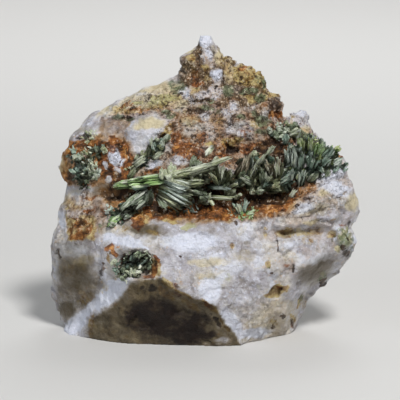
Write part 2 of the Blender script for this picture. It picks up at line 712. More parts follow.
PEAK_DABS = [
    Dab(S, (2, 30), (9, 9)), Dab(T, (2.3, 36.3), (1.3, 2.4), 6, -1), Dab(W, (1.6, 39.8), (2, 1.9)),
    Dab(W, (2.3, 36.4), (1.3, 2.4), 6, 0.7), Dab(G, (3.4, 37.4), (0.6, 2), 10, 0.8),
    Dab(U, (0.1, 36.8), (0.55, 1.7), -8, 0.9), Dab(G, (-0.4, 37), (1, 1.8)),
    Dab(T, (5.4, 35.8), (1.7, 2.4), -15, -0.6), Dab(C, (5.4, 35.8), (1.8, 2.6), -15, 0.9),
    Dab(O, (6.2, 35.2), (0.8, 1.6), -20, 0.6), Dab(O, (-2.3, 35.4), (1.5, 1.6), 0, 0.8),
    Dab(R, (-2, 35.2), (1, 1), 0, 0.5), Dab(C, (-2.6, 33.4), (2, 1), 0, 0.8),
    Dab(C, (-2.4, 37.6), (1.8, 0.8), 20, 0.8), Dab(X, (-1.6, 30.8), (2.2, 2), 0, 0.7),
    Dab(R, (-2, 30.6), (1.8, 1.3), 0, 0.5), Dab(O, (1.2, 33.2), (1.5, 1.3), 0, 0.75),
    Dab(R, (-0.6, 29), (2, 1), 0, 0.75), Dab(O, (1.6, 30.4), (1.6, 1.6), 0, 0.5),
    Dab(T, (4.2, 31), (1.6, 2.2), 0, -1), Dab(X, (4.2, 31), (1.6, 2.2), 0, -1),
    Dab(W, (4, 31.4), (1.5, 1.8), 20, 0.8), Dab(U, (6, 30.8), (0.6, 2), 4, 0.95),
    Dab(D, (6, 30.8), (0.6, 2), 4, 0.8), Dab(T, (7.3, 31.8), (1, 3), 4, -0.7),
    Dab(C, (7.3, 31.8), (1.1, 3.2), 4, 0.9), Dab(O, (11, 31.6), (2.4, 2.8), 0, 0.95),
    Dab(U, (10.2, 30.6), (0.8, 0.6), 0, 0.7), Dab(U, (12.2, 31.8), (0.7, 0.5), 0, 0.7),
    Dab(U, (9.4, 29.2), (1.6, 0.5), -10, 0.7), Dab(R, (10.4, 32.2), (1.2, 0.9), 0, 0.6),
    Dab(C, (14.4, 31.2), (2.2, 1.6), -20, 0.8), Dab(M, (14.6, 29.6), (2, 2), 0, 0.55),
    Dab(T, (15.2, 28.8), (0.6, 1.5), 0, -1), Dab(W, (15.2, 28.8), (0.5, 1.4), 0, 0.9),
    Dab(T, (3.7, 26.8), (2.1, 2), 0, -1), Dab(W, (3.7, 26.8), (2, 1.9), 0, 1),
    Dab(U, (4, 28.2), (0.4, 0.7), 0, 0.9), Dab(T, (-1.5, 27.6), (1.8, 1.4), 0, -0.8),
    Dab(C, (-1.5, 27.6), (1.7, 1.3), 0, 1), Dab(L, (-1.2, 27.8), (1, 1), 0, 0.7),
    Dab(T, (-3.8, 27.2), (1.6, 1.6), 0, -1), Dab(W, (-3.8, 27.2), (1.6, 1.5), 0, 1),
    Dab(T, (0.9, 26.3), (2.4, 0.8), 0, -1), Dab(W, (0.9, 26.3), (2.4, 0.8), 0, 0.9),
    Dab(U, (-0.4, 25.2), (3.8, 0.5), 0, 1), Dab(D, (-0.4, 25.1), (3.8, 0.5), 0, 0.7),
    Dab(M, (7, 27.6), (2.4, 2.2), 0, 0.75), Dab(M, (12, 27.2), (3, 1.4), 0, 0.72),
    Dab(O, (0, 33), (5.5, 4.5), 0, 0.42), Dab(O, (7, 33), (2.6, 3.6), 0, 0.5),
    Dab(C, (13, 28), (2.6, 0.9), 0, 0.7), Dab(O, (9, 27.5), (2.4, 1.6), 0, 0.5),
    Dab(U, (18.6, 23.8), (1.8, 2.4), 30, 0.75), Dab(R, (19, 21.4), (2.2, 1.2), 0, 0.9),
    Dab(O, (18, 26.4), (2, 1.2), -20, 0.9), Dab(C, (18.6, 27), (1.6, 0.7), -20, 0.6),
    Dab(M, (15, 25.5), (2, 1.6), 0, 0.75), Dab(G, (9.5, 24.5), (1.8, 1.8), 0, 0.8),
    Dab(M, (-6, 28.5), (3, 2.6), -25, 0.66), Dab(G, (-5.5, 28), (2.2, 2), 0, 0.4),
    Dab(U, (10.4, 22.6), (2, 0.6), -20, 0.5), Dab(T, (8.6, 23.8), (1.6, 1.8), 0, -0.8),
    Dab(W, (8.6, 23.8), (1.4, 1.8), 0, 0.7),
]
UPPER_LEFT_DABS = [
    Dab(W, (-14, 25), (8.5, 3), 18, 0.4), Dab(R, (-18.5, 24), (3.2, 0.8), 20, 0.6),
    Dab(L, (-10.5, 24.8), (4.6, 2.2), 15, 0.75), Dab(O, (-17, 22.5), (5, 1.2), 14, 0.6),
    Dab(R, (-16.5, 23), (3.2, 0.9), 10, 0.6), Dab(C, (-13.5, 25.6), (8, 1.8), 22, 0.9),
    Dab(L, (-15.6, 24.6), (1.8, 0.7), 10, 0.9), Dab(L, (-6.4, 25.6), (1.8, 0.9), 10, 0.9),
    Dab(U, (-12.2, 26), (1.6, 0.3), 24, 0.8), Dab(U, (-8, 24.2), (1.8, 0.35), 16, 0.8),
    Dab(U, (-16.8, 23.2), (1.4, 0.3), 20, 0.8), Dab(U, (-4.8, 26.4), (1.2, 0.35), 30, 0.8),
    Dab(U, (-10.8, 22.9), (2.2, 0.3), 10, 0.8), Dab(U, (-19.8, 22.2), (1.2, 0.3), 26, 0.7),
    Dab(O, (-20, 23), (2.4, 1), 24, 0.7), Dab(C, (-9, 27.4), (4, 1.2), 22, 0.8),
    Dab(M, (-20.5, 20.8), (2.4, 0.8), 0, 0.8), Dab(M, (-17.2, 20.5), (1.6, 0.7), 0, 0.8),
    Dab(K, (-20.8, 20.4), (2.4, 0.6), 0, 0.3), Dab(K, (-16.6, 20.2), (1.8, 0.5), 8, 0.3),
    Dab(U, (-18.6, 20.9), (3.6, 0.35), 4, 0.8), Dab(U, (-14.4, 21.6), (2, 0.3), 16, 0.8),
    Dab(W, (-14.6, 26.6), (2.4, 0.7), 12, 0.6), Dab(W, (-11.2, 23.6), (1.6, 0.8), 10, 0.6),
    Dab(W, (-7.6, 23.2), (1.6, 0.8), -10, 0.6), Dab(R, (-14, 22.4), (2.4, 0.5), 8, 0.7),
    Dab(M, (-7.5, 21.5), (2, 1.2), 0, 0.7), Dab(U, (-1, 22.6), (4, 1.3), 0, 0.7),
    Dab(M, (1.5, 23.2), (3.2, 1.2), 0, 0.7), Dab(O, (-4.5, 22.6), (2.4, 1.2), 0, 0.5),
    Dab(W, (-25, 21), (4, 1.6), 30, 0.35), Dab(G, (-24, 19), (3.4, 1.6), 25, 0.4),
    Dab(X, (-25.4, 19.8), (3.4, 1.8), 30, 0.3),
    Dab(S, (-15, 24), (10, 3), 18, 0.8), Dab(C, (-24, 22.3), (3.5, 0.9), 35, 0.7),
]
LENS_DABS = [
    Dab(L, (-8.8, 17.2), (0.9, 3), -35, 0.7), Dab(U, (-19, 15.4), (0.35, 1.6), 20, 0.4),
    Dab(K, (-14.5, 13.2), (2.4, 1.6), -30, 0.16), Dab(O, (-17.8, 19), (0.5, 1.8), -40, 0.6),
    Dab(O, (-8.2, 17.5), (1.2, 3.2), -35, 0.9), Dab(U, (-9.5, 15.8), (0.6, 3), -38, 0.7),
    Dab(O, (-19.5, 19.8), (0.8, 2.8), -40, 0.5), Dab(U, (-15.5, 10.8), (2.6, 0.7), 28, 0.7),
    Dab(D, (-9.2, 15.6), (0.6, 4.2), -36, 0.5),
]
LEFT_RING_DABS = [
    Dab(R, (-28.5, 14), (4.4, 1.3), 8, 1), Dab(R, (-22.2, 14.2), (1.8, 2.6), 20, 1),
    Dab(R, (-19, 12.2), (1.6, 3.2), 15, 0.95), Dab(R, (-24.8, 9.5), (1.4, 3.4), 10, 0.95),
    Dab(R, (-21.5, 7), (3.4, 1.8), 10, 0.9), Dab(U, (-22, 6), (3.4, 1.3), 8, 0.75),
    Dab(S, (-22, 11), (4.2, 4.2), 0, 1),
    Dab(G, (-25.2, 11.5), (1.2, 1.3), 0, 0.9), Dab(R, (-32.5, 13.8), (1.6, 1.3), 30, 0.85),
    Dab(C, (-34.3, 9), (1.2, 3.4), 5, 0.9), Dab(O, (-33.8, 7.6), (1.4, 2), 0, 0.5),
    Dab(U, (-32, 6), (1.4, 2.6), 10, 0.8), Dab(G, (-30.5, 17.3), (2.6, 1.2), 0, 0.5),
    Dab(U, (-29, 15.6), (3, 1.2), 0, 0.5), Dab(G, (-24, 2.2), (3.4, 2.4), 0, 1),
    Dab(U, (-26, 3.2), (2.6, 1.8), 0, 0.5), Dab(W, (-33.8, 5.4), (0.9, 2.4), 0, 0.5),
    Dab(U, (-20.5, 13.6), (1, 1), 0, 0.7), Dab(G, (-28, 17.5), (2, 1.6), 0, 0.5),
    Dab(D, (-21.8, 7.8), (2.6, 1), 10, 0.6), Dab(D, (-19.2, 13), (0.8, 2), 10, 0.4),
    Dab(R, (-23.9, 8.8), (0.6, 1.3), 35, -1), Dab(X, (-23.9, 8.8), (0.6, 1.3), 35, -1),
    Dab(W, (-23.9, 8.8), (0.6, 1.3), 35, 0.4), Dab(R, (-20.8, 7.3), (1.3, 0.6), -30, -1),
    Dab(X, (-20.8, 7.3), (1.3, 0.6), -30, -0.8), Dab(W, (-20.8, 7.3), (1.3, 0.6), -30, 0.5),
    Dab(R, (-22.9, 5.2), (0.9, 1), 20, -1), Dab(X, (-22.9, 5.2), (0.9, 1), 20, -1),
    Dab(U, (-22.9, 5.2), (0.9, 1), 20, -1), Dab(W, (-22.9, 5.2), (0.9, 1), 20, 0.4),
    Dab(U, (-22.4, 7.4), (2.4, 0.35), -35, 0.9), Dab(U, (-20, 9.4), (0.4, 1.6), -40, 0.8),
    Dab(U, (-18.2, 11.8), (0.4, 2), 10, 0.8), Dab(U, (-23.6, 12.8), (0.4, 1.4), 40, 0.8),
    Dab(U, (-28, 13.2), (3.4, 0.4), 6, 0.8), Dab(O, (-27.6, 14.6), (3, 0.6), 8, 0.8),
    Dab(L, (-20.4, 11.6), (0.9, 0.9), 0, 0.5), Dab(U, (-31.6, 14), (1.6, 0.4), 30, 0.7),
]
STAINED_DABS = [
    Dab(S, (2, 15.5), (16, 7.5), 0, 1),
    Dab(R, (-4, 13), (4.2, 2.2), 15, 0.85), Dab(R, (-1.5, 11.8), (3.6, 1.8), 10, 0.85),
    Dab(R, (-10.5, 7.3), (4.6, 0.9), 6, 0.85), Dab(W, (-11.5, 9.2), (2.6, 1.6), 10, 0.7),
    Dab(W, (-5, 10), (3.2, 1.4), 10, 0.4), Dab(W, (-3, 17.5), (2.6, 1.7), 0, 0.35),
    Dab(W, (1.5, 18.5), (2, 2.6), 0, 0.32), Dab(W, (6.5, 17), (2, 2.4), 0, 0.35),
    Dab(R, (0.5, 15.5), (2.4, 2.6), 0, 0.6), Dab(R, (-6, 15.5), (2.2, 2), 20, 0.7),
    Dab(O, (7, 14.5), (2.4, 1.6), 0, 0.9), Dab(R, (6, 13.5), (2.6, 1.4), 0, 0.6),
    Dab(U, (8, 20), (3, 2.2), 0, 0.5), Dab(O, (4, 20.5), (3.4, 1.8), 0, 0.5),
    Dab(R, (11.5, 17.5), (2.6, 3), 0, 0.45), Dab(C, (-2.5, 20), (3.4, 1.6), 0, 0.6),
    Dab(W, (10, 17.8), (1.4, 1.8), 0, 0.35), Dab(O, (13.8, 19.2), (1.8, 1.6), 0, 0.7),
    Dab(M, (15.8, 20), (2.6, 2), 0, 0.8), Dab(M, (15.5, 17.2), (2.6, 1.2), 0, 0.78),
    Dab(R, (12, 12.8), (4.6, 1.7), 8, 0.9), Dab(U, (16.5, 13.6), (4.6, 1.5), 12, 0.8),
    Dab(R, (20, 13.8), (3.2, 1.7), 20, 0.9), Dab(D, (8.2, 12.8), (1.4, 0.9), 0, 1.2),
    Dab(U, (8.2, 12.8), (1.7, 1.1), 0, 1), Dab(D, (16.5, 13.5), (5, 1.3), 12, 0.6),
    Dab(R, (4.5, 10.8), (4.4, 1.3), 14, 0.7), Dab(U, (3, 9.6), (4, 0.8), 12, 0.6),
    Dab(U, (12.5, 20.5), (2, 3), 20, 0.4), Dab(R, (-3.5, 20.3), (3, 1.2), 10, 0.4),
    Dab(X, (-2.2, 18), (2.2, 2), 0, -0.6), Dab(X, (1.8, 17.2), (2.2, 2.5), 0, -0.6),
    Dab(X, (11.2, 17.6), (2, 2.4), 0, -0.6), Dab(X, (7.8, 18.6), (1.8, 2), 0, -0.6),
    Dab(X, (7.5, 22.6), (2.2, 2), 0, -0.6), Dab(X, (1, 21.6), (2, 1.6), 0, -0.6),
    Dab(X, (12.6, 23.6), (2.2, 1.7), 0, -0.6), Dab(X, (16.6, 21.4), (1.6, 1.6), 0, -0.6),
    Dab(X, (-4.6, 23.4), (2, 1.2), 10, -0.6), Dab(M, (4.6, 22.2), (1.7, 1.2), 0, 0.7),
    Dab(M, (10.4, 20.9), (1.7, 1), 0, 0.7), Dab(M, (2.6, 25), (1.6, 0.8), 0, 0.75),
    Dab(M, (13.8, 21.6), (1.5, 1.3), 0, 0.7), Dab(M, (-8.4, 22.4), (1.8, 0.8), 0, 0.75),
    Dab(X, (-5, 10.2), (3.4, 1.5), 10, -0.8), Dab(X, (-11.5, 9.4), (2.8, 1.5), 10, -0.7),
    Dab(X, (-8, 13.6), (1.8, 1.4), 20, -0.6), Dab(X, (0.2, 12.4), (1.2, 1), 0, -0.6),
    Dab(U, (5.6, 15.8), (0.7, 1), 0, 0.6), Dab(U, (-0.6, 15.2), (0.6, 0.9), 20, 0.6),
    Dab(U, (3.8, 19.8), (0.9, 0.5), 0, 0.6), Dab(U, (-6.6, 12.2), (1.8, 0.35), 24, 0.6),
    Dab(O, (2.4, 13.8), (1.6, 1), 0, 0.8), Dab(O, (9.2, 15), (1.8, 1.2), 0, 0.8),
]
RIGHT_TOP_DABS = [
    Dab(S, (25, 20.5), (4.5, 4.5), 0, 0.8), Dab(S, (33.5, 5), (6, 5), 0, 0.7),
    Dab(X, (31, 8), (6, 2), 10, 0.4), Dab(X, (26.5, 17), (3, 1.6), 0, 0.4),
    Dab(W, (25, 21.4), (2.2, 1.6), 0, 0.8), Dab(C, (26.5, 18), (1.6, 1.3), 0, 0.8),
    Dab(O, (22.8, 19.6), (0.9, 1.8), 0, 0.6), Dab(C, (23.6, 22.4), (1, 0.8), 0, 0.8),
    Dab(U, (22.4, 21.6), (0.35, 1.2), 10, 0.7), Dab(U, (25.2, 19.4), (0.3, 1), -20, 0.5),
    Dab(O, (24.5, 17.6), (3, 0.9), 0, 0.6), Dab(U, (21.5, 17.8), (2.6, 1.6), 0, 0.8),
    Dab(M, (24, 16.5), (4.6, 1.4), 0, 0.8), Dab(R, (35, 12.4), (1.7, 0.9), -10, 1),
    Dab(R, (34.5, 10.6), (1.4, 1.2), 0, 0.8), Dab(U, (28, 14.8), (5, 3), 0, 0.5),
    Dab(M, (30, 12.5), (5.5, 3.6), 0, 0.6), Dab(W, (34, 7.6), (4.6, 1.2), 5, 0.9),
    Dab(W, (32.5, 5.8), (5, 1.2), 8, 0.7), Dab(R, (28, 5.8), (1.4, 0.9), 10, 0.9),
    Dab(U, (30.5, 6.6), (3, 0.8), 8, 0.5), Dab(S, (30, 0), (8, 5), 10, 0.85),
    Dab(W, (28.2, 20.5), (1.2, 1.6), 0, 0.6), Dab(M, (37, 9.5), (1.2, 2.4), 0, 0.6),
    Dab(O, (11.5, 27.4), (5.5, 1.5), -6, -0.7), Dab(W, (9, 27.8), (3.4, 0.8), -8, 0.6),
    Dab(C, (12.6, 27.2), (3.2, 0.8), -6, 0.7), Dab(M, (15.8, 28.8), (0.9, 1.8), 0, 0.9),
    Dab(M, (7.4, 26.6), (1.2, 1), 0, 0.6), Dab(U, (11, 26.4), (4.5, 0.35), -8, 0.7),
]
SEAM_DABS = [
    Dab(U, (-22, 1.2), (5, 1.6), -4, 0.9), Dab(R, (-17.5, 0.5), (5, 2), -8, 0.8),
    Dab(U, (-13, 2), (4, 1.6), 0, 0.9), Dab(R, (-11, -2.6), (4.6, 2.6), -12, 0.9),
    Dab(U, (-11, -2.2), (1.6, 2.4), 0, 0.9), Dab(U, (0, 2), (10, 2.4), 4, 0.95),
    Dab(R, (4.5, -2.8), (4.8, 1.5), 4, 1), Dab(R, (17, 0.2), (4.8, 2.6), 8, 1),
    Dab(U, (12, 1.5), (5.5, 1.5), 0, 0.95), Dab(U, (22.5, 4.6), (4.6, 1.5), 15, 0.9),
    Dab(O, (20.5, -0.6), (2, 1.2), 10, 0.7), Dab(R, (-6, -3.6), (3.4, 1.2), 0, 0.9),
    Dab(D, (0, 1), (9, 2.2), 4, 1), Dab(D, (17, 1.2), (5.5, 2), 8, 0.9),
    Dab(D, (-18.5, 1.2), (5, 1.4), -4, 0.8), Dab(U, (22, 1.8), (1.8, 1.2), 0, 0.7),
    Dab(S, (0, 0), (22, 3.5), 5, 0.7), Dab(L, (-3, -6.6), (2.6, 1), 10, 0.9),
    Dab(L, (-1.5, -5.2), (3, 0.8), 14, 0.5), Dab(M, (21, 0.8), (2, 1.8), 0, 0.6),
    Dab(O, (-8, -5.2), (3.4, 0.8), -12, 0.7), Dab(C, (-7, -4.4), (3.2, 0.9), -6, 0.9),
    Dab(O, (7.5, -5.2), (3, 1), 0, 0.6), Dab(U, (9, -5.8), (0.7, 0.7), 0, 1),
    Dab(M, (11.5, -4.2), (4, 1), 4, 0.5), Dab(L, (13.5, -3.8), (3, 0.7), 4, 0.5),
]
LEFT_SLOPE_DABS = [
    Dab(W, (-30, 0.6), (3.2, 2), -10, 0.7), Dab(C, (-30.5, 0), (4.6, 3.2), 0, 0.7),
    Dab(S, (-30, -3), (5.4, 5.4), 0, 0.5), Dab(R, (-29.8, -7.2), (4, 2.8), 0, 0.6),
    Dab(W, (-29.6, -0.6), (2.6, 1.2), 0, 0.6), Dab(W, (-31.6, -3.2), (1.6, 0.8), 10, 0.5),
    Dab(R, (-30.4, -1.6), (2.6, 0.3), -12, 0.7), Dab(R, (-28.6, -3), (2.8, 0.3), 16, 0.7),
    Dab(R, (-31.6, -4.6), (2.2, 0.35), -8, 0.7), Dab(U, (-30, -6.2), (2.4, 0.3), 12, 0.7),
    Dab(U, (-28.6, -8.4), (2, 0.3), -10, 0.7),
    Dab(O, (-28.5, -6), (4, 3.2), 0, 0.7), Dab(R, (-30.6, -9.2), (2.6, 1.2), 0, 0.7),
    Dab(O, (-33.5, -2.2), (0.8, 1.2), 0, 0.9), Dab(R, (-16, -4.8), (2.2, 3.4), 20, 0.75),
    Dab(O, (-14.5, -4.2), (2.6, 3), 10, 0.8), Dab(U, (-9.5, -2.8), (1.9, 1.7), 0, 0.8),
    Dab(O, (-12, -8.2), (2.6, 1), -20, 0.7), Dab(W, (-34.5, -5), (1.3, 3), 10, 0.7),
    Dab(L, (-24.5, -7.6), (1.6, 1), 0, 0.5), Dab(M, (-24, -6.4), (2, 1.4), 0, 0.6),
    Dab(U, (-20.5, -2), (1.6, 1.6), 0, 0.5), Dab(R, (-24.5, -2.8), (3, 1.8), 0, 0.5),
    Dab(U, (-25, 3), (3, 2.2), 0, -0.75), Dab(R, (-25, 3), (3, 2.2), 0, -0.7),
    Dab(U, (-28.6, 1.6), (1.4, 1.8), 0, 0.5), Dab(U, (-26.4, -4.4), (3.2, 0.35), 14, 0.6),
    Dab(U, (-28.4, -1.2), (2.4, 0.3), 10, 0.5), Dab(R, (-27.4, 0.6), (2.6, 0.5), 14, 0.6),
]
LOWER_LEFT_DABS = [
    Dab(W, (-18.5, -10.4), (5, 1.5), -8, 1), Dab(W, (-22.5, -9.2), (2.4, 1.2), 0, 0.8),
    Dab(G, (-14, -7.6), (4.4, 1.3), -8, 0.95), Dab(K, (-13, -7.4), (6.5, 1.7), -8, 0.4),
    Dab(O, (-18.6, -7), (1.6, 0.8), 0, 0.6), Dab(G, (-11.5, -9.6), (1.2, 1), 0, 0.6),
    Dab(R, (-22.7, -12.1), (1.5, 0.7), 20, 1), Dab(R, (-21.6, -13.2), (0.7, 1.3), 24, 1),
    Dab(R, (-23.2, -13), (0.6, 0.5), 0, 0.75), Dab(R, (-22.2, -11), (0.6, 0.4), 0, 0.7),
    Dab(R, (-20.6, -11.8), (0.7, 0.4), -14, 0.7), Dab(U, (-22.4, -13.4), (0.4, 0.6), 10, 0.8),
    Dab(O, (-22.2, -12.6), (1.9, 1.8), 10, 0.6),
    Dab(O, (-22.6, -14.8), (0.6, 1.6), 16, 0.7), Dab(U, (-18, -15.2), (2.6, 2), 0, 0.85),
    Dab(W, (-14.6, -11.6), (2.6, 0.6), -20, 0.9), Dab(R, (-13.2, -19), (2.2, 0.8), 10, 0.7),
    Dab(O, (-11.4, -16.8), (2, 3.4), 20, 0.9), Dab(R, (-10.9, -14.6), (0.7, 1.6), 20, 0.9),
    Dab(R, (-11.4, -17.2), (0.8, 1.6), -10, 0.9), Dab(R, (-12.4, -18.9), (1.6, 0.7), 20, 0.9),
    Dab(U, (-11.4, -15.8), (0.4, 0.9), 10, 0.8), Dab(U, (-13.5, -15.5), (2.4, 3.4), 0, 0.7),
    Dab(D, (-16.5, -16), (4, 2.6), 0, 0.8), Dab(S, (-16.5, -16), (4.6, 3.6), 0, 0.9),
    Dab(U, (-35.4, -13.2), (1.3, 2.2), 10, 0.55), Dab(O, (-33, -17), (3.4, 3.6), 0, 0.45),
    Dab(G, (-31.5, -18.5), (5, 5), 0, 0.9), Dab(U, (-24.5, -17.6), (0.8, 3.8), -12, 0.55),
    Dab(O, (-28.5, -24.6), (3.4, 2), 30, 0.6), Dab(O, (-34, -24), (2, 4), 0, 0.35),
    Dab(W, (-31.5, -12.6), (4.4, 1.8), 0, 0.8), Dab(C, (-29, -15), (4, 2.2), 0, 0.5),
    Dab(G, (-33.5, -27.5), (3, 2.6), 0, 0.7), Dab(O, (-24, -22), (1.4, 2.4), -30, 0.5),
]
DARK_FACET_DABS = [
    Dab(O, (-27.2, -30.4), (1.2, 3.2), -12, 0.62), Dab(O, (-8, -20.8), (2.6, 1.3), -35, 0.8),
    Dab(O, (-23.6, -27.6), (2.6, 1), 25, 0.4), Dab(O, (2.6, -26.6), (3.4, 0.7), -38, 1),
    Dab(O, (-4.4, -23.4), (4, 0.6), -26, 0.9), Dab(O, (6.4, -31.6), (3.6, 0.5), -52, 0.8),
    Dab(O, (-27.4, -33.6), (0.8, 2.2), 8, 0.6),
    Dab(R, (2.2, -26.4), (1.8, 0.6), -32, 0.7),
    Dab(R, (-6.6, -21), (2.6, 0.9), -40, 0.5), Dab(K, (-11, -31), (10.5, 10), 12, 0.68),
    Dab(K, (-9.6, -30.6), (9.2, 9), 26, 0.78), Dab(K, (-8.2, -31.2), (8.2, 8.4), -8, 0.88),
    Dab(K, (-6.6, -31), (7.6, 7.4), 34, 0.98), Dab(K, (-5, -31.6), (6.8, 6.8), 10, 1.08),
    Dab(K, (-10.5, -29.5), (7.6, 7), 10, 1.12), Dab(K, (-8.5, -30.5), (6.6, 6.2), -10, 1.24),
    Dab(K, (-14.5, -29.5), (6, 6), 0, 0.92),
    Dab(K, (-3.2, -31.4), (5.6, 5.8), 30, 1.2), Dab(K, (-1.6, -32), (5.6, 5.2), 20, 1.22),
    Dab(K, (0.4, -33), (5, 4.6), 0, 1.05),
    Dab(K, (2.6, -32), (3, 1), 6, -0.4), Dab(K, (4.4, -35), (3.6, 0.5), 4, -0.5),
    Dab(K, (0.6, -36.4), (4, 0.4), 4, -0.4), Dab(O, (-11, -23.5), (3, 1.8), -30, 0.45),
    Dab(O, (-8.4, -23.4), (4, 1.6), -35, 0.6), Dab(O, (-2.2, -26.2), (4, 1.3), -32, 0.65),
    Dab(R, (-5.6, -23.8), (2.2, 0.7), -30, 0.5), Dab(O, (-17.5, -33), (3.6, 3), 20, 0.45),
    Dab(O, (-22, -32.5), (3, 3.4), 0, 0.4),
    Dab(W, (-22.5, -23.6), (6.5, 2.2), 36, 1.2), Dab(W, (-31.5, -31.5), (3.6, 2.2), 42, 1.1),
    Dab(U, (4.2, -30.4), (3.4, 0.8), -50, 0.6), Dab(U, (-13, -22), (2.6, 1.4), 0, 0.6),
]
WHITE_FACE_DABS = [
    Dab(W, (-2, -10.5), (9, 3), 0, 0.8), Dab(W, (2.5, -22.5), (3.4, 3.4), 20, 1),
    Dab(C, (1.5, -15.5), (6.8, 1.4), 5, 0.6), Dab(C, (2.5, -18.8), (5, 1.2), 8, 0.5),
    Dab(L, (3.5, -20), (3, 1), 10, 0.35), Dab(M, (5.5, -17), (1.4, 2), 20, 0.35),
    Dab(C, (11, -14), (4.4, 2.6), 0, 0.4), Dab(O, (8, -11.6), (0.8, 1.1), 0, 0.7),
    Dab(G, (11.8, -10.9), (1.1, 0.6), 40, 0.6), Dab(M, (11.4, -11.2), (0.9, 0.5), 40, 0.4),
    Dab(D, (8, -12.4), (0.9, 1.1), 0, 0.5), Dab(D, (11.6, -11.8), (1, 1), 0, 0.4),
    Dab(U, (-5, -13.8), (0.35, 0.3), 0, 1.6), Dab(D, (-5, -13.8), (0.45, 0.35), 0, 0.7),
    Dab(W, (8, -31), (2.4, 5), 35, 0.9), Dab(W, (13, -33.5), (6, 1.6), 8, 0.8),
    Dab(U, (21, -29.2), (0.8, 0.5), 0, 0.7),
    Dab(U, (18.5, -31.7), (0.9, 1.2), -30, 0.6), Dab(R, (23.4, -31.4), (1, 1.4), 0, 0.5),
    Dab(U, (23, -30.5), (0.7, 1.6), 20, 0.5), Dab(D, (18.8, -23.2), (2.3, 1.4), 35, 0.7),
    Dab(R, (20, -22.4), (1.8, 1), 35, 0.6),
    Dab(O, (21.6, -22), (1.2, 1.4), 0, 0.5), Dab(S, (15, -30), (9, 6), 15, 0.5),
    Dab(W, (5, -19.5), (2.6, 1.6), 20, 0.6), Dab(L, (-4, -9.4), (2.6, 1.2), 0, 0.35),
    Dab(M, (9.5, -20.5), (1.2, 1.2), 0, 0.3), Dab(M, (13.8, -18), (1, 1.4), 0, 0.3),
    Dab(C, (-8, -10.5), (2.6, 1.6), 0, 0.5), Dab(L, (12.5, -9), (3, 1), 10, 0.25),
]
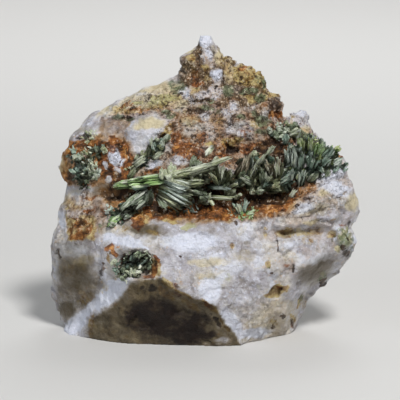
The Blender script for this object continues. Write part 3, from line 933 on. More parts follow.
RIGHT_DABS = [
    Dab(W, (24.5, -2), (5, 1.8), 6, 0.7), Dab(C, (29, -2.4), (6, 2), 8, 0.5),
    Dab(U, (27.2, 0.6), (1.8, 0.6), 10, 0.75), Dab(D, (27.2, 0.4), (2, 0.8), 10, 0.6),
    Dab(U, (31.4, 4), (2.2, 0.4), 14, 0.6), Dab(U, (35, 0.6), (1.4, 0.4), 20, 0.6),
    Dab(C, (31, 1.8), (2.2, 1.2), 10, 0.7), Dab(O, (36.6, 1.8), (1, 0.8), 0, 0.5),
    Dab(U, (33, -2.6), (1.6, 0.35), 16, 0.6), Dab(U, (30, -5), (2, 0.35), 10, 0.5),
    Dab(O, (33.4, -4.6), (1.6, 0.7), 10, 0.6), Dab(C, (28, -5.6), (2.6, 0.9), 6, 0.7),
    Dab(U, (24.4, -1.4), (0.8, 0.6), 0, 0.8), Dab(U, (21, -7.7), (2, 0.4), 4, 0.3),
    Dab(O, (21.4, -8.2), (3.2, 1.5), 4, 0.7), Dab(K, (25, -8), (7.5, 1.7), 4, 0.2),
    Dab(C, (25.2, -8.2), (1.6, 1), 6, 0.9),
    Dab(O, (28.5, -8.2), (4, 1.3), 6, 0.6), Dab(U, (9, -5.7), (0.5, 0.5), 0, 0.9),
    Dab(O, (26.8, -10.2), (2.6, 1.6), 0, 0.55), Dab(L, (31.2, -11.6), (2, 1), 0, 0.4),
    Dab(M, (36, -10), (3.4, 3.8), -20, 0.62), Dab(L, (36, -9), (3, 3.4), 0, 0.6),
    Dab(W, (34.6, -7.6), (0.9, 0.5), 20, 1), Dab(W, (37, -8.2), (0.6, 1), -20, 1),
    Dab(W, (35.6, -10.2), (0.8, 0.5), 30, 1), Dab(W, (38, -12.2), (0.5, 0.9), 10, 1),
    Dab(W, (34, -9.8), (0.5, 0.9), 0, 0.9), Dab(U, (36.6, -9.6), (0.4, 0.7), -20, 0.9),
    Dab(C, (36.4, -9.4), (2.6, 3), 0, 0.6), Dab(R, (35.6, -6.2), (1.2, 0.5), 20, 0.5),
    Dab(U, (36.4, -13.2), (1.4, 1.8), 20, 0.6), Dab(U, (35.4, -11.8), (0.5, 0.8), 20, 0.9),
    Dab(W, (38.6, -10), (0.7, 1.6), 10, 0.9), Dab(C, (34.6, -12.2), (0.9, 1), 0, 0.9),
    Dab(O, (33, -8.8), (1.6, 1.2), 0, 0.7),
    Dab(W, (34, 3), (5, 2.2), -20, 0.8), Dab(C, (38, -0.5), (2.4, 3), 0, 0.7),
    Dab(U, (37.5, -6.2), (1.4, 1.4), 0, 0.5), Dab(O, (36, -4), (2, 1), 0, 0.4),
    Dab(G, (29, -18), (6, 4), 30, 0.7), Dab(W, (30, -14.6), (5, 1.4), 22, 0.6),
    Dab(U, (23.2, -17.2), (0.7, 1.6), 10, 0.6),
    Dab(O, (17.5, -15), (1.6, 1.6), 0, 0.4), Dab(U, (30.9, -20.4), (0.9, 1.8), -20, 0.85),
    Dab(L, (30.2, -18.6), (1.2, 1), 0, 0.6),
    Dab(M, (30.5, -19.5), (1.8, 2.6), -20, 0.6), Dab(O, (26, -25.5), (1.2, 2.6), 0, 0.5),
    Dab(U, (19.4, -11.5), (0.35, 2.8), 5, 0.7), Dab(D, (19.4, -11.5), (0.3, 2.8), 5, 0.35),
    Dab(U, (26, -4), (0.3, 2), -15, 0.5), Dab(S, (26, -8), (12, 8), 0, 0.5),
    Dab(W, (23, -11.2), (4.6, 1.2), 0, 0.5), Dab(C, (22.5, -14), (4, 2), 0, 0.4),
    Dab(O, (17.4, -16), (1, 1.2), 0, 0.8), Dab(M, (17, -16.6), (1.2, 0.8), 0, 0.6),
    Dab(R, (21.6, -16.8), (0.8, 1.6), -10, 0.5), Dab(X, (21.8, -16.4), (2.2, 2.6), -10, 0.36),
    Dab(U, (17.9, -18.4), (0.9, 0.4), -20, 0.8), Dab(L, (6.8, -19.4), (1.4, 2), 0, 0.5),
    Dab(M, (6.8, -19.2), (1, 1.4), 0, 0.4), Dab(L, (14.8, -21.8), (1, 1.6), 20, 0.5),
    Dab(O, (25, -25.4), (0.8, 2.4), -10, 0.8), Dab(M, (25.4, -24.6), (0.9, 2.2), -10, 0.6),
    Dab(U, (20.8, -28.8), (1, 0.5), 0, 0.8), Dab(O, (18.6, -30.6), (1.2, 1.6), -20, 0.6),
    Dab(O, (23.2, -29.8), (0.8, 1.8), 10, 0.7), Dab(U, (20, -4), (0.6, 0.5), 0, 0.6),
    Dab(O, (16.4, -8), (0.8, 2.6), 10, 0.6), Dab(K, (29.5, -16.5), (7, 2.6), 38, 0.28),
]
DABS: list[Area | Dab] = [
    *AREAS, *BULGES, *PEAK_DABS, *UPPER_LEFT_DABS, *LENS_DABS, *LEFT_RING_DABS, *STAINED_DABS,
    *RIGHT_TOP_DABS, *SEAM_DABS, *LEFT_SLOPE_DABS, *LOWER_LEFT_DABS, *DARK_FACET_DABS, *WHITE_FACE_DABS,
    *RIGHT_DABS,
]


@dataclass(frozen=True)
class QuartzFinish:
    """Milky quartz under iron stain, as a shader that reads the stains from the mesh."""

    name: str = "stained_milky_quartz"
    milky: Colour = srgb(219, 218, 223)
    shaded: Colour = srgb(174, 170, 178)
    warm: Colour = srgb(218, 208, 184)
    snow: Colour = srgb(228, 232, 246)
    clear: Colour = srgb(128, 118, 100)
    clear_pale: Colour = srgb(160, 152, 138)
    cream: Colour = srgb(216, 202, 160)
    pink: Colour = srgb(196, 168, 142)
    wash: Colour = srgb(210, 166, 104)
    tan: Colour = srgb(104, 80, 52)
    tan_pale: Colour = srgb(214, 194, 166)
    shade_light: Colour = srgb(148, 134, 102)
    shade_deep: Colour = srgb(72, 46, 22)
    ochre: Colour = srgb(140, 102, 40)
    ochre_pale: Colour = srgb(208, 188, 126)
    rust_dark: Colour = srgb(62, 28, 4)
    rust: Colour = srgb(142, 80, 24)
    rust_bright: Colour = srgb(212, 150, 76)
    umber: Colour = srgb(38, 22, 8)
    umber_pale: Colour = srgb(110, 78, 44)
    moss: Colour = srgb(72, 84, 58)
    moss_pale: Colour = srgb(128, 142, 108)
    lime: Colour = srgb(178, 178, 96)
    crevice: Colour = srgb(96, 66, 40)
    pit: Colour = srgb(48, 28, 10)
    sparkle: Colour = srgb(232, 221, 202)
    grain_size: float = 3.0
    fleck_size: float = 0.85
    own_grain: bool = False

    def material(self) -> bpy.types.Material:
        """Builds the shader.

        Returns:
            The material.
        """
        made = bpy.data.materials.new(self.name)
        made.use_nodes = True
        w = Wiring(made.node_tree)
        shader = made.node_tree.nodes["Principled BSDF"]
        place = w.scaled(w.node("ShaderNodeTexCoord", {}, {}, "Object"), 1 / MM)
        broad = w.noise(place, 11.0, 4.0, 0.6)
        cloud = w.noise(w.moved(place, (31.0, 7.0, 3.0)), 4.2, 5.0, 0.68)
        fine = w.noise(w.moved(place, (3.0, 17.0, 9.0)), 1.5, 4.0, 0.7)
        speck = w.noise(w.moved(place, (13.0, 2.0, 6.0)), 0.85, 2.0, 0.7) * 0.6 + fine * 0.4
        bedding = w.noise(w.squeezed(place, (0.3, 0.4, 1.0)), 1.7, 3.0, 0.6)
        patch = w.noise(w.moved(place, (6.0, 27.0, 4.0)), 5.2, 2.0, 0.55)
        tone, other, inside = w.grains(place, self.grain_size)
        fleck, fleck_other, fleck_inside = w.grains(w.moved(place, (5.0, 3.0, 8.0)), self.fleck_size)
        sugar = self.amount(w, "sugar")
        hollow = self.amount(w, "hollow")
        if self.own_grain:
            tone = self.amount(w, "grain")
            other = w.node("ShaderNodeMath", {"operation": "FRACT"}, {0: tone * 7.3})
            inside = 0.5 + tone * 0.5

        colour = w.mixed(w.ramp(cloud, 0.36, 0.66), self.milky, self.shaded)
        colour = w.mixed(w.ramp(broad, 0.45, 0.68) * 0.5, colour, self.warm)
        plain = 1 - sugar
        colour = w.mixed(w.ramp(bedding, 0.52, 0.66) * plain * 0.4, colour, self.warm)
        colour = w.mixed(w.ramp(patch, 0.5, 0.62) * plain * 0.55, colour, self.shaded)
        colour = w.mixed(w.ramp(patch, 0.46, 0.36) * plain * 0.5, colour, self.snow)
        _, block_tone, block_inside = w.grains(w.moved(place, (12.0, 4.0, 6.0)), 5.0, 0.5)
        colour = w.mixed(w.ramp(block_tone, 0.5, 1.0) * w.ramp(fine, 0.3, 0.6) * 0.35, colour, self.shaded)
        crack = w.ramp(block_inside, 0.07, 0.0) * w.ramp(cloud, 0.46, 0.62)
        colour = w.mixed(crack * 0.45, colour, self.clear)
        colour = w.mixed(w.ramp(speck, 0.45, 0.38) * 0.5, colour, self.clear_pale)
        colour = w.mixed(w.ramp(speck, 0.54, 0.62) * 0.55, colour, self.snow)
        gold_speck = w.ramp(fine * 0.6 + fleck * 0.4, 0.66, 0.74) * w.ramp(broad, 0.42, 0.58) * plain
        colour = w.mixed(gold_speck * 0.5, colour, self.wash)
        colour = w.mixed(sugar * w.ramp(tone, 0.3, 0.8) * 0.7, colour, self.pink)
        clear = w.mixed(cloud, self.clear, self.clear_pale)
        colour = w.mixed(self.soft(w, "clear", cloud) * 0.85, colour, clear)
        colour = w.mixed(sugar * w.ramp(other, 0.6, 0.9) * 0.5, colour, self.clear_pale)
        colour = w.mixed(self.soft(w, "cream", fine) * 0.8, colour, self.cream)
        colour = w.mixed(self.soft(w, "snow", cloud) * 0.85, colour, self.snow)
        colour = w.mixed(self.patchy(w, "lime", fleck, 1 - fine, fine) * 0.55, colour, self.lime)
        wash = self.amount(w, "wash")
        colour = w.tinted(w.ramp(wash * 1.6 - cloud * 0.5 - inside * 0.2, 0.0, 0.8), colour, self.wash)
        tan = w.mixed(w.ramp(fine * 0.6 + fleck_inside * 0.25, 0.36, 0.6), self.tan, self.tan_pale)
        colour = w.mixed(self.patchy(w, "tan", other, inside * 0.6, cloud) * 0.9, colour, tan)
        ochre = w.mixed(w.ramp(fine, 0.35, 0.62), self.ochre, self.ochre_pale)
        colour = w.mixed(self.patchy(w, "ochre", fleck, fine, cloud) * 0.85, colour, ochre)
        rust = w.node("ShaderNodeValToRGB", {"stops": [
            (0.42, self.rust_dark), (0.52, self.rust), (0.61, self.rust_bright),
        ]}, {"Fac": fine * 0.45 + speck * 0.15 + cloud * 0.4}, "Color")
        creeping = w.ramp(wash * 1.3 - (patch * 0.85 + fine * 0.3 + inside * 0.3), -0.04, 0.3)
        rusty = self.patchy(w, "rust", other, inside * 0.8, cloud * 0.6 + speck * 0.6).larger(creeping * 0.8)
        colour = w.mixed(rusty * 0.9, colour, rust)
        moss = w.mixed(w.ramp(fine, 0.4, 0.64), self.moss, self.moss_pale)
        colour = w.mixed(self.patchy(w, "moss", fleck, fine, cloud) * 0.85, colour, moss)
        umber = w.mixed(w.ramp(fine, 0.42, 0.68), self.umber, self.umber_pale)
        dark = self.patchy(w, "umber", fleck_other, inside * 0.8, cloud * 0.6 + speck * 0.6)
        colour = w.mixed(dark * 0.92, colour, umber)
        shade = self.amount(w, "shade")
        uneven = (cloud - 0.5) * 1.3 + (bedding - 0.5) * 0.5 + (speck - 0.5) * 0.5 + (broad - 0.5) * 0.6
        shade = shade + uneven * shade
        colour = w.tinted(w.ramp(shade, 0.0, 0.5), colour, self.shade_light)
        colour = w.tinted(w.ramp(shade, 0.32, 1.15), colour, self.shade_deep)
        stained = sugar * 0.25 + wash
        colour = w.tinted(w.ramp(hollow, 0.3, 0.95) * (0.15 + stained * 0.75), colour, self.crevice)
        gritty = w.ramp(sugar * 0.8 + wash, 0.2, 1.0)
        colour = w.mixed(w.ramp(speck, 0.484, 0.408) * gritty * 0.78, colour, self.pit)
        glint = w.ramp(speck, 0.57, 0.62) * gritty
        colour = w.mixed(glint * 0.55, colour, self.sparkle)
        w.feed(shader.inputs["Base Color"], colour)

        w.feed(shader.inputs["Roughness"], 0.42 + cloud * 0.2 + rusty * 0.12 - glint * 0.3)
        large, _ = w.facets(w.moved(place, (2.0, 8.0, 1.0)), 2.8)
        small, _ = w.facets(w.moved(place, (7.0, 1.0, 4.0)), 0.9)
        blocks = large * (0.4 - sugar * 0.2) + small * (0.22 + sugar * 0.2)
        height = blocks + fine * 0.55 + speck * 0.25 + bedding * plain * 0.35
        bump = w.node("ShaderNodeBump", {}, {"Strength": 1.0, "Distance": 0.0011, "Height": height}, "Normal")
        w.feed(shader.inputs["Normal"], bump)
        shader.inputs["Subsurface Weight"].default_value = 0.1
        shader.inputs["Subsurface Radius"].default_value = (1.0, 0.9, 0.8)
        shader.inputs["Subsurface Scale"].default_value = 0.001
        shader.inputs["IOR"].default_value = 1.54
        shader.inputs["Specular IOR Level"].default_value = 0.3
        return made

    @staticmethod
    def amount(w: Wiring, name: str) -> Sock:
        """Reads how much of a stain the mesh holds."""
        return w.node("ShaderNodeAttribute", {"attribute_name": name}, {}, "Fac")

    def soft(self, w: Wiring, name: str, breakup: Sock) -> Sock:
        """A stain that lies in the stone as a soft cloud."""
        return w.ramp(self.amount(w, name) * 1.2 - breakup * 0.5, 0.0, 0.7)

    def patchy(self, w: Wiring, name: str, tone: Sock, inside: Sock, cloud: Sock) -> Sock:
        """A stain that creeps in from the borders between grains, and covers them where it is strong."""
        drive = self.amount(w, name) * 1.45 - (tone * 0.3 + inside * 0.5 + cloud * 0.45)
        return w.ramp(drive, -0.04, 0.42)


@dataclass
class QuartzMatrix:
    """The stone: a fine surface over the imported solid, with its stains and its grains."""

    node: str = "quartz_matrix"
    voxel: float = 0.436
    outline_wander: float = 0.55
    wander_size: float = 2.2
    chip_size: float = 4.4
    chip_rise: float = 0.6
    flake_size: float = 1.15
    flake_rise: float = 0.3
    fine_rise: float = 0.36
    grain_rise: float = 0.45
    lump_rise: float = 1.3
    grain_density: float = 3.2
    grain_small: float = 0.28
    grain_large: float = 0.75
    grain_sink: float = 0.12
    seed: int = 7

    def surface(self) -> bpy.types.Object:
        """Lays an even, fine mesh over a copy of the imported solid.

        Returns:
            The object that shows it.
        """
        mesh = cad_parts[self.node].data.copy()
        bm = bmesh.new()
        bm.from_mesh(mesh)
        bmesh.ops.remove_doubles(bm, verts=bm.verts, dist=1e-6)
        bm.to_mesh(mesh)
        bm.free()
        coarse = object_of("stone_blank", mesh)
        remesh = coarse.modifiers.new("even_mesh", "REMESH")
        remesh.mode = "VOXEL"
        remesh.voxel_size = self.voxel * MM
        remesh.use_smooth_shade = True
        bpy.context.view_layer.update()
        evaluated = coarse.evaluated_get(bpy.context.evaluated_depsgraph_get())
        fine = bpy.data.meshes.new_from_object(evaluated)
        coarse.modifiers.clear()
        bpy.data.objects.remove(coarse)
        fine.materials.clear()
        return object_of("stone_surface", fine)

    def stain(self, mesh: bpy.types.Mesh) -> None:
        """Lays every stain on the mesh as a named attribute.

        Args:
            mesh: The fine mesh.
        """
        points, normals = points_of(mesh), normals_of(mesh)
        eye = np.array(SURVEY.eye())
        to_eye = eye - points
        to_eye /= np.linalg.norm(to_eye, axis=1)[:, None]
        facing = (normals * to_eye).sum(axis=1)
        front = smoothstep(facing, -0.45, -0.05)
        wander = np.stack([signed_noise(points, self.wander_size, s) for s in (11.0, 23.0)], axis=1)
        seen = SURVEY.seen(points) + wander * self.outline_wander
        amounts = {stain: np.zeros(len(points)) for stain in Stain}
        for dab in DABS:
            cover = dab.cover(seen)
            if dab.weight < 0:
                amounts[dab.stain] *= 1 + cover
            else:
                amounts[dab.stain] = np.maximum(amounts[dab.stain], cover)
        self.stain_back(points, front, amounts)
        for stain, amount in amounts.items():
            attribute = mesh.attributes.new(stain.value, "FLOAT", "POINT")
            attribute.data.foreach_set("value", amount.astype(np.float32))

    @staticmethod
    def stain_back(points: np.ndarray, front: np.ndarray, amounts: dict[Stain, np.ndarray]) -> None:
        """Gives the sides and the back broken white quartz, with iron along a few seams.

        Args:
            points: The mesh's points.
            front: How much each point belongs to the front.
            amounts: The stains so far, changed in place.
        """
        seams = 1 - smoothstep(np.abs(signed_noise(points, 26.0, 5.0)), 0.02, 0.3)
        patches = signed_noise(points, 9.0, 41.0)
        clouds = signed_noise(points, 14.0, 77.0)
        added = {
            Stain.WASH: 0.5 * seams * smoothstep(clouds, -0.3, 0.4),
            Stain.RUST: 0.6 * seams * smoothstep(patches, 0.0, 0.5),
            Stain.OCHRE: 0.5 * seams * smoothstep(clouds, 0.0, 0.6) + 0.25 * smoothstep(clouds, 0.2, 0.6),
            Stain.UMBER: 0.4 * seams * smoothstep(-patches, 0.1, 0.5),
            Stain.CREAM: 0.6 * smoothstep(clouds, -0.1, 0.5),
            Stain.CLEAR: 0.6 * smoothstep(-clouds, 0.1, 0.5),
            Stain.SNOW: 0.7 * smoothstep(-patches, 0.1, 0.5),
            Stain.SUGAR: 0.6 * smoothstep(patches, 0.0, 0.4),
        }
        for stain in amounts:
            amounts[stain] = amounts[stain] * front + added.get(stain, 0.0) * (1 - front)

    def relief_tree(self) -> GeometryTree:
        """Breaks the surface into chips, flakes and grains, and notes where its hollows are.

        Returns:
            The tree.
        """
        g = GeometryTree("broken_quartz_relief")
        chip_size, chip_rise = g.named("Chip Size"), g.named("Chip Rise")
        flake_size, flake_rise = g.named("Flake Size"), g.named("Flake Rise")
        fine_rise, grain_rise, lump_rise = g.named("Fine Rise"), g.named("Grain Rise"), g.named("Lump Rise")
        material = g.named("Material", "NodeSocketMaterial")
        position = g.node("GeometryNodeInputPosition")
        normal = g.node("GeometryNodeInputNormal", {}, {}, "Normal")
        place = g.scaled(position, 1 / MM)
        sugar = g.attribute("sugar")
        dent = g.attribute("dent") - g.attribute("bulge")
        chips, _ = g.facets(place, chip_size)
        flakes, crack = g.facets(g.moved(place, (40.0, 9.0, 2.0)), flake_size)
        _, _, inside = g.grains(place, QuartzFinish.grain_size)
        fine = g.noise(place, 0.9, 3.0, 0.65) - 0.5
        raised = chips * chip_rise * (1 - sugar * 0.35) + flakes * flake_rise * (0.15 + sugar * 0.85)
        raised = raised + (inside - 0.7) * sugar * grain_rise
        raised = raised + (g.noise(g.moved(place, (9.0, 2.0, 5.0)), 3.2, 1.0) - 0.55) * sugar * lump_rise
        raised = raised + fine * fine_rise * (0.2 + sugar) - dent - crack * sugar * 0.15
        height = g.node("ShaderNodeSeparateXYZ", {}, {"Vector": place}, "Z")
        raised = raised * g.ramp(height, 0.05, 1.2)
        offset = g.scaled(normal, raised * MM)
        moved = g.node("GeometryNodeSetPosition", {}, {
            "Geometry": g.geometry(), "Offset": offset,
        }, "Geometry")
        hollow = g.ramp((1 - inside) * (0.2 + sugar * 0.4) - flakes * 0.6 - fine * 1.8 + dent * 0.4, 0.0, 1.1)
        noted = g.node("GeometryNodeStoreNamedAttribute", {"data_type": "FLOAT", "domain": "POINT"}, {
            "Geometry": moved, "Name": "hollow", "Value": hollow,
        }, "Geometry")
        g.ends_in(noted, material)
        return g

    def grain_tree(self) -> GeometryTree:
        """Scatters small angular quartz grains where the stone is sugary.

        Returns:
            The tree.
        """
        g = GeometryTree("quartz_grains")
        density, seed = g.named("Density"), g.named("Seed", "NodeSocketInt")
        small, large = g.named("Small"), g.named("Large")
        material = g.named("Material", "NodeSocketMaterial")
        sugar = g.attribute("sugar")
        wanted = g.ramp(sugar, 0.25, 0.9) * density * 1e6
        scattered = g.node("GeometryNodeDistributePointsOnFaces", {"distribute_method": "RANDOM"}, {
            "Mesh": g.geometry(), "Density": wanted, "Seed": seed,
        }, "Points")
        tinted = g.node("GeometryNodeStoreNamedAttribute", {"data_type": "FLOAT", "domain": "POINT"}, {
            "Geometry": scattered, "Name": "grain", "Value": self.random(g, 0.0, 1.0, seed, 3),
        }, "Geometry")
        sunk = g.node("GeometryNodeSetPosition", {}, {
            "Geometry": tinted, "Offset": g.scaled(scattered.also("Normal"), -self.grain_sink * MM),
        }, "Geometry")
        ball = g.node("GeometryNodeMeshIcoSphere", {}, {"Radius": 0.5 * MM, "Subdivisions": 1}, "Mesh")
        turn = g.node("FunctionNodeRandomValue", {"data_type": "FLOAT_VECTOR"}, {
            "Min": (0.0, 0.0, 0.0), "Max": (6.3, 6.3, 6.3), "ID": g.node("GeometryNodeInputIndex"),
            "Seed": seed,
        }, "Value")
        size = self.random(g, 0.0, 1.0, seed, 5)
        size = small + (large - small) * size * size
        stretch = g.node("ShaderNodeCombineXYZ", {}, {
            "X": size * self.random(g, 0.7, 1.3, seed, 8),
            "Y": size * self.random(g, 0.7, 1.3, seed, 9),
            "Z": size * self.random(g, 0.7, 1.5, seed, 10),
        }, "Vector")
        placed = g.node("GeometryNodeInstanceOnPoints", {}, {
            "Points": sunk, "Instance": ball, "Rotation": turn, "Scale": stretch,
        }, "Instances")
        g.ends_in(placed, material)
        return g

    @staticmethod
    def random(g: GeometryTree, low: float, high: float, seed: Sock, step: int) -> Sock:
        """A random number for each point.

        Args:
            g: The tree.
            low: The least.
            high: The most.
            seed: The seed's socket.
            step: What is added to the seed, a different number at each call.

        Returns:
            The number.
        """
        values = {
            "Min_001": low, "Max_001": high, "Seed": seed + step,
            "ID": g.node("GeometryNodeInputIndex"),
        }
        made = g.node("FunctionNodeRandomValue", {"data_type": "FLOAT"}, values)
        return Sock(g, next(s for s in made.socket.node.outputs if s.identifier == "Value_001"))

    def build(self) -> list[bpy.types.Object]:
        """Builds the stone's surface and its loose grains.

        Returns:
            The pieces.
        """
        surface = self.surface()
        self.stain(surface.data)
        stone = self.relief_tree().grown(surface, {
            "Chip Size": self.chip_size, "Chip Rise": self.chip_rise, "Flake Size": self.flake_size,
            "Flake Rise": self.flake_rise, "Fine Rise": self.fine_rise, "Grain Rise": self.grain_rise,
            "Lump Rise": self.lump_rise,
            "Material": QuartzFinish().material(),
        }, "stained_quartz_stone")
        kept_inside(stone.data)
        grains = self.grain_tree().grown(object_of("grain_base", stone.data.copy()), {
            "Density": self.grain_density, "Seed": self.seed, "Small": self.grain_small,
            "Large": self.grain_large,
            "Material": QuartzFinish(name="quartz_grain", own_grain=True).material(),
        }, "quartz_grains")
        grains.data.shade_flat()
        kept_inside(grains.data)
        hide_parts(self.node)
        for piece in (stone, grains):
            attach(piece, "root")
        return [stone, grains]


class Tone(Enum):
    """The greens that the crystals come in, as the colour at the root and at the tip."""

    DEEP = (srgb(24, 34, 24), srgb(112, 128, 104))
    DARK = (srgb(34, 44, 28), srgb(150, 164, 134))
    TEAL = (srgb(46, 68, 54), srgb(176, 200, 184))
    OLIVE = (srgb(54, 62, 32), srgb(202, 208, 164))
    PALE = (srgb(86, 96, 62), srgb(230, 236, 208))
    TAN = (srgb(72, 64, 40), srgb(216, 202, 174))
    LIME = (srgb(76, 94, 44), srgb(206, 220, 152))
    BRIGHT = (srgb(58, 92, 38), srgb(170, 204, 130))
    ICE = (srgb(84, 106, 92), srgb(228, 238, 228))


@dataclass(frozen=True)
class Sheaf:
    """A bundle of needles that grow from one root on the stone.

    root and tip are places as seen, lift is how far the tips stand towards the viewer, and spread is the
    bundle's width at the root and at the tips, all in millimetres.
    """

    root: Place
    tip: Place
    lift: float
    spread: tuple[float, float]
    needles: int
    tone: Tone
    girth: float = 0.5


@dataclass(frozen=True)
class Tuft:
    """A low cushion of short needles that stand out of the stone in all directions."""

    place: Place
    reach: float
    height: float
    needles: int
    tone: Tone
    girth: float = 0.5


@dataclass(frozen=True)
class Thicket:
    """Stubby bundles that stand close together all over an area of the stone.

    lean is the way that they point: across, up and towards the viewer. length is the shortest and the
    longest, and width a bundle's thickness, in millimetres.
    """

    outline: tuple[Place, ...]
    bundles: int
    lean: tuple[float, float, float]
    length: tuple[float, float]
    tones: tuple[Tone, ...]
    width: float = 1.9
    needles: int = 8
    unrest: float = 0.5
    girth: float = 0.95


@dataclass
class Needle:
    """One needle, from foot to head in millimetres, with its thickness, tone and random share of dust."""

    foot: Vector
    head: Vector
    girth: float
    tone: Tone
    tint: float


Growth = Sheaf | Tuft | Thicket
DP, DK, TL, OL, PL, TN, LM, BR, IC = (
    Tone.DEEP, Tone.DARK, Tone.TEAL, Tone.OLIVE, Tone.PALE, Tone.TAN, Tone.LIME, Tone.BRIGHT, Tone.ICE,
)

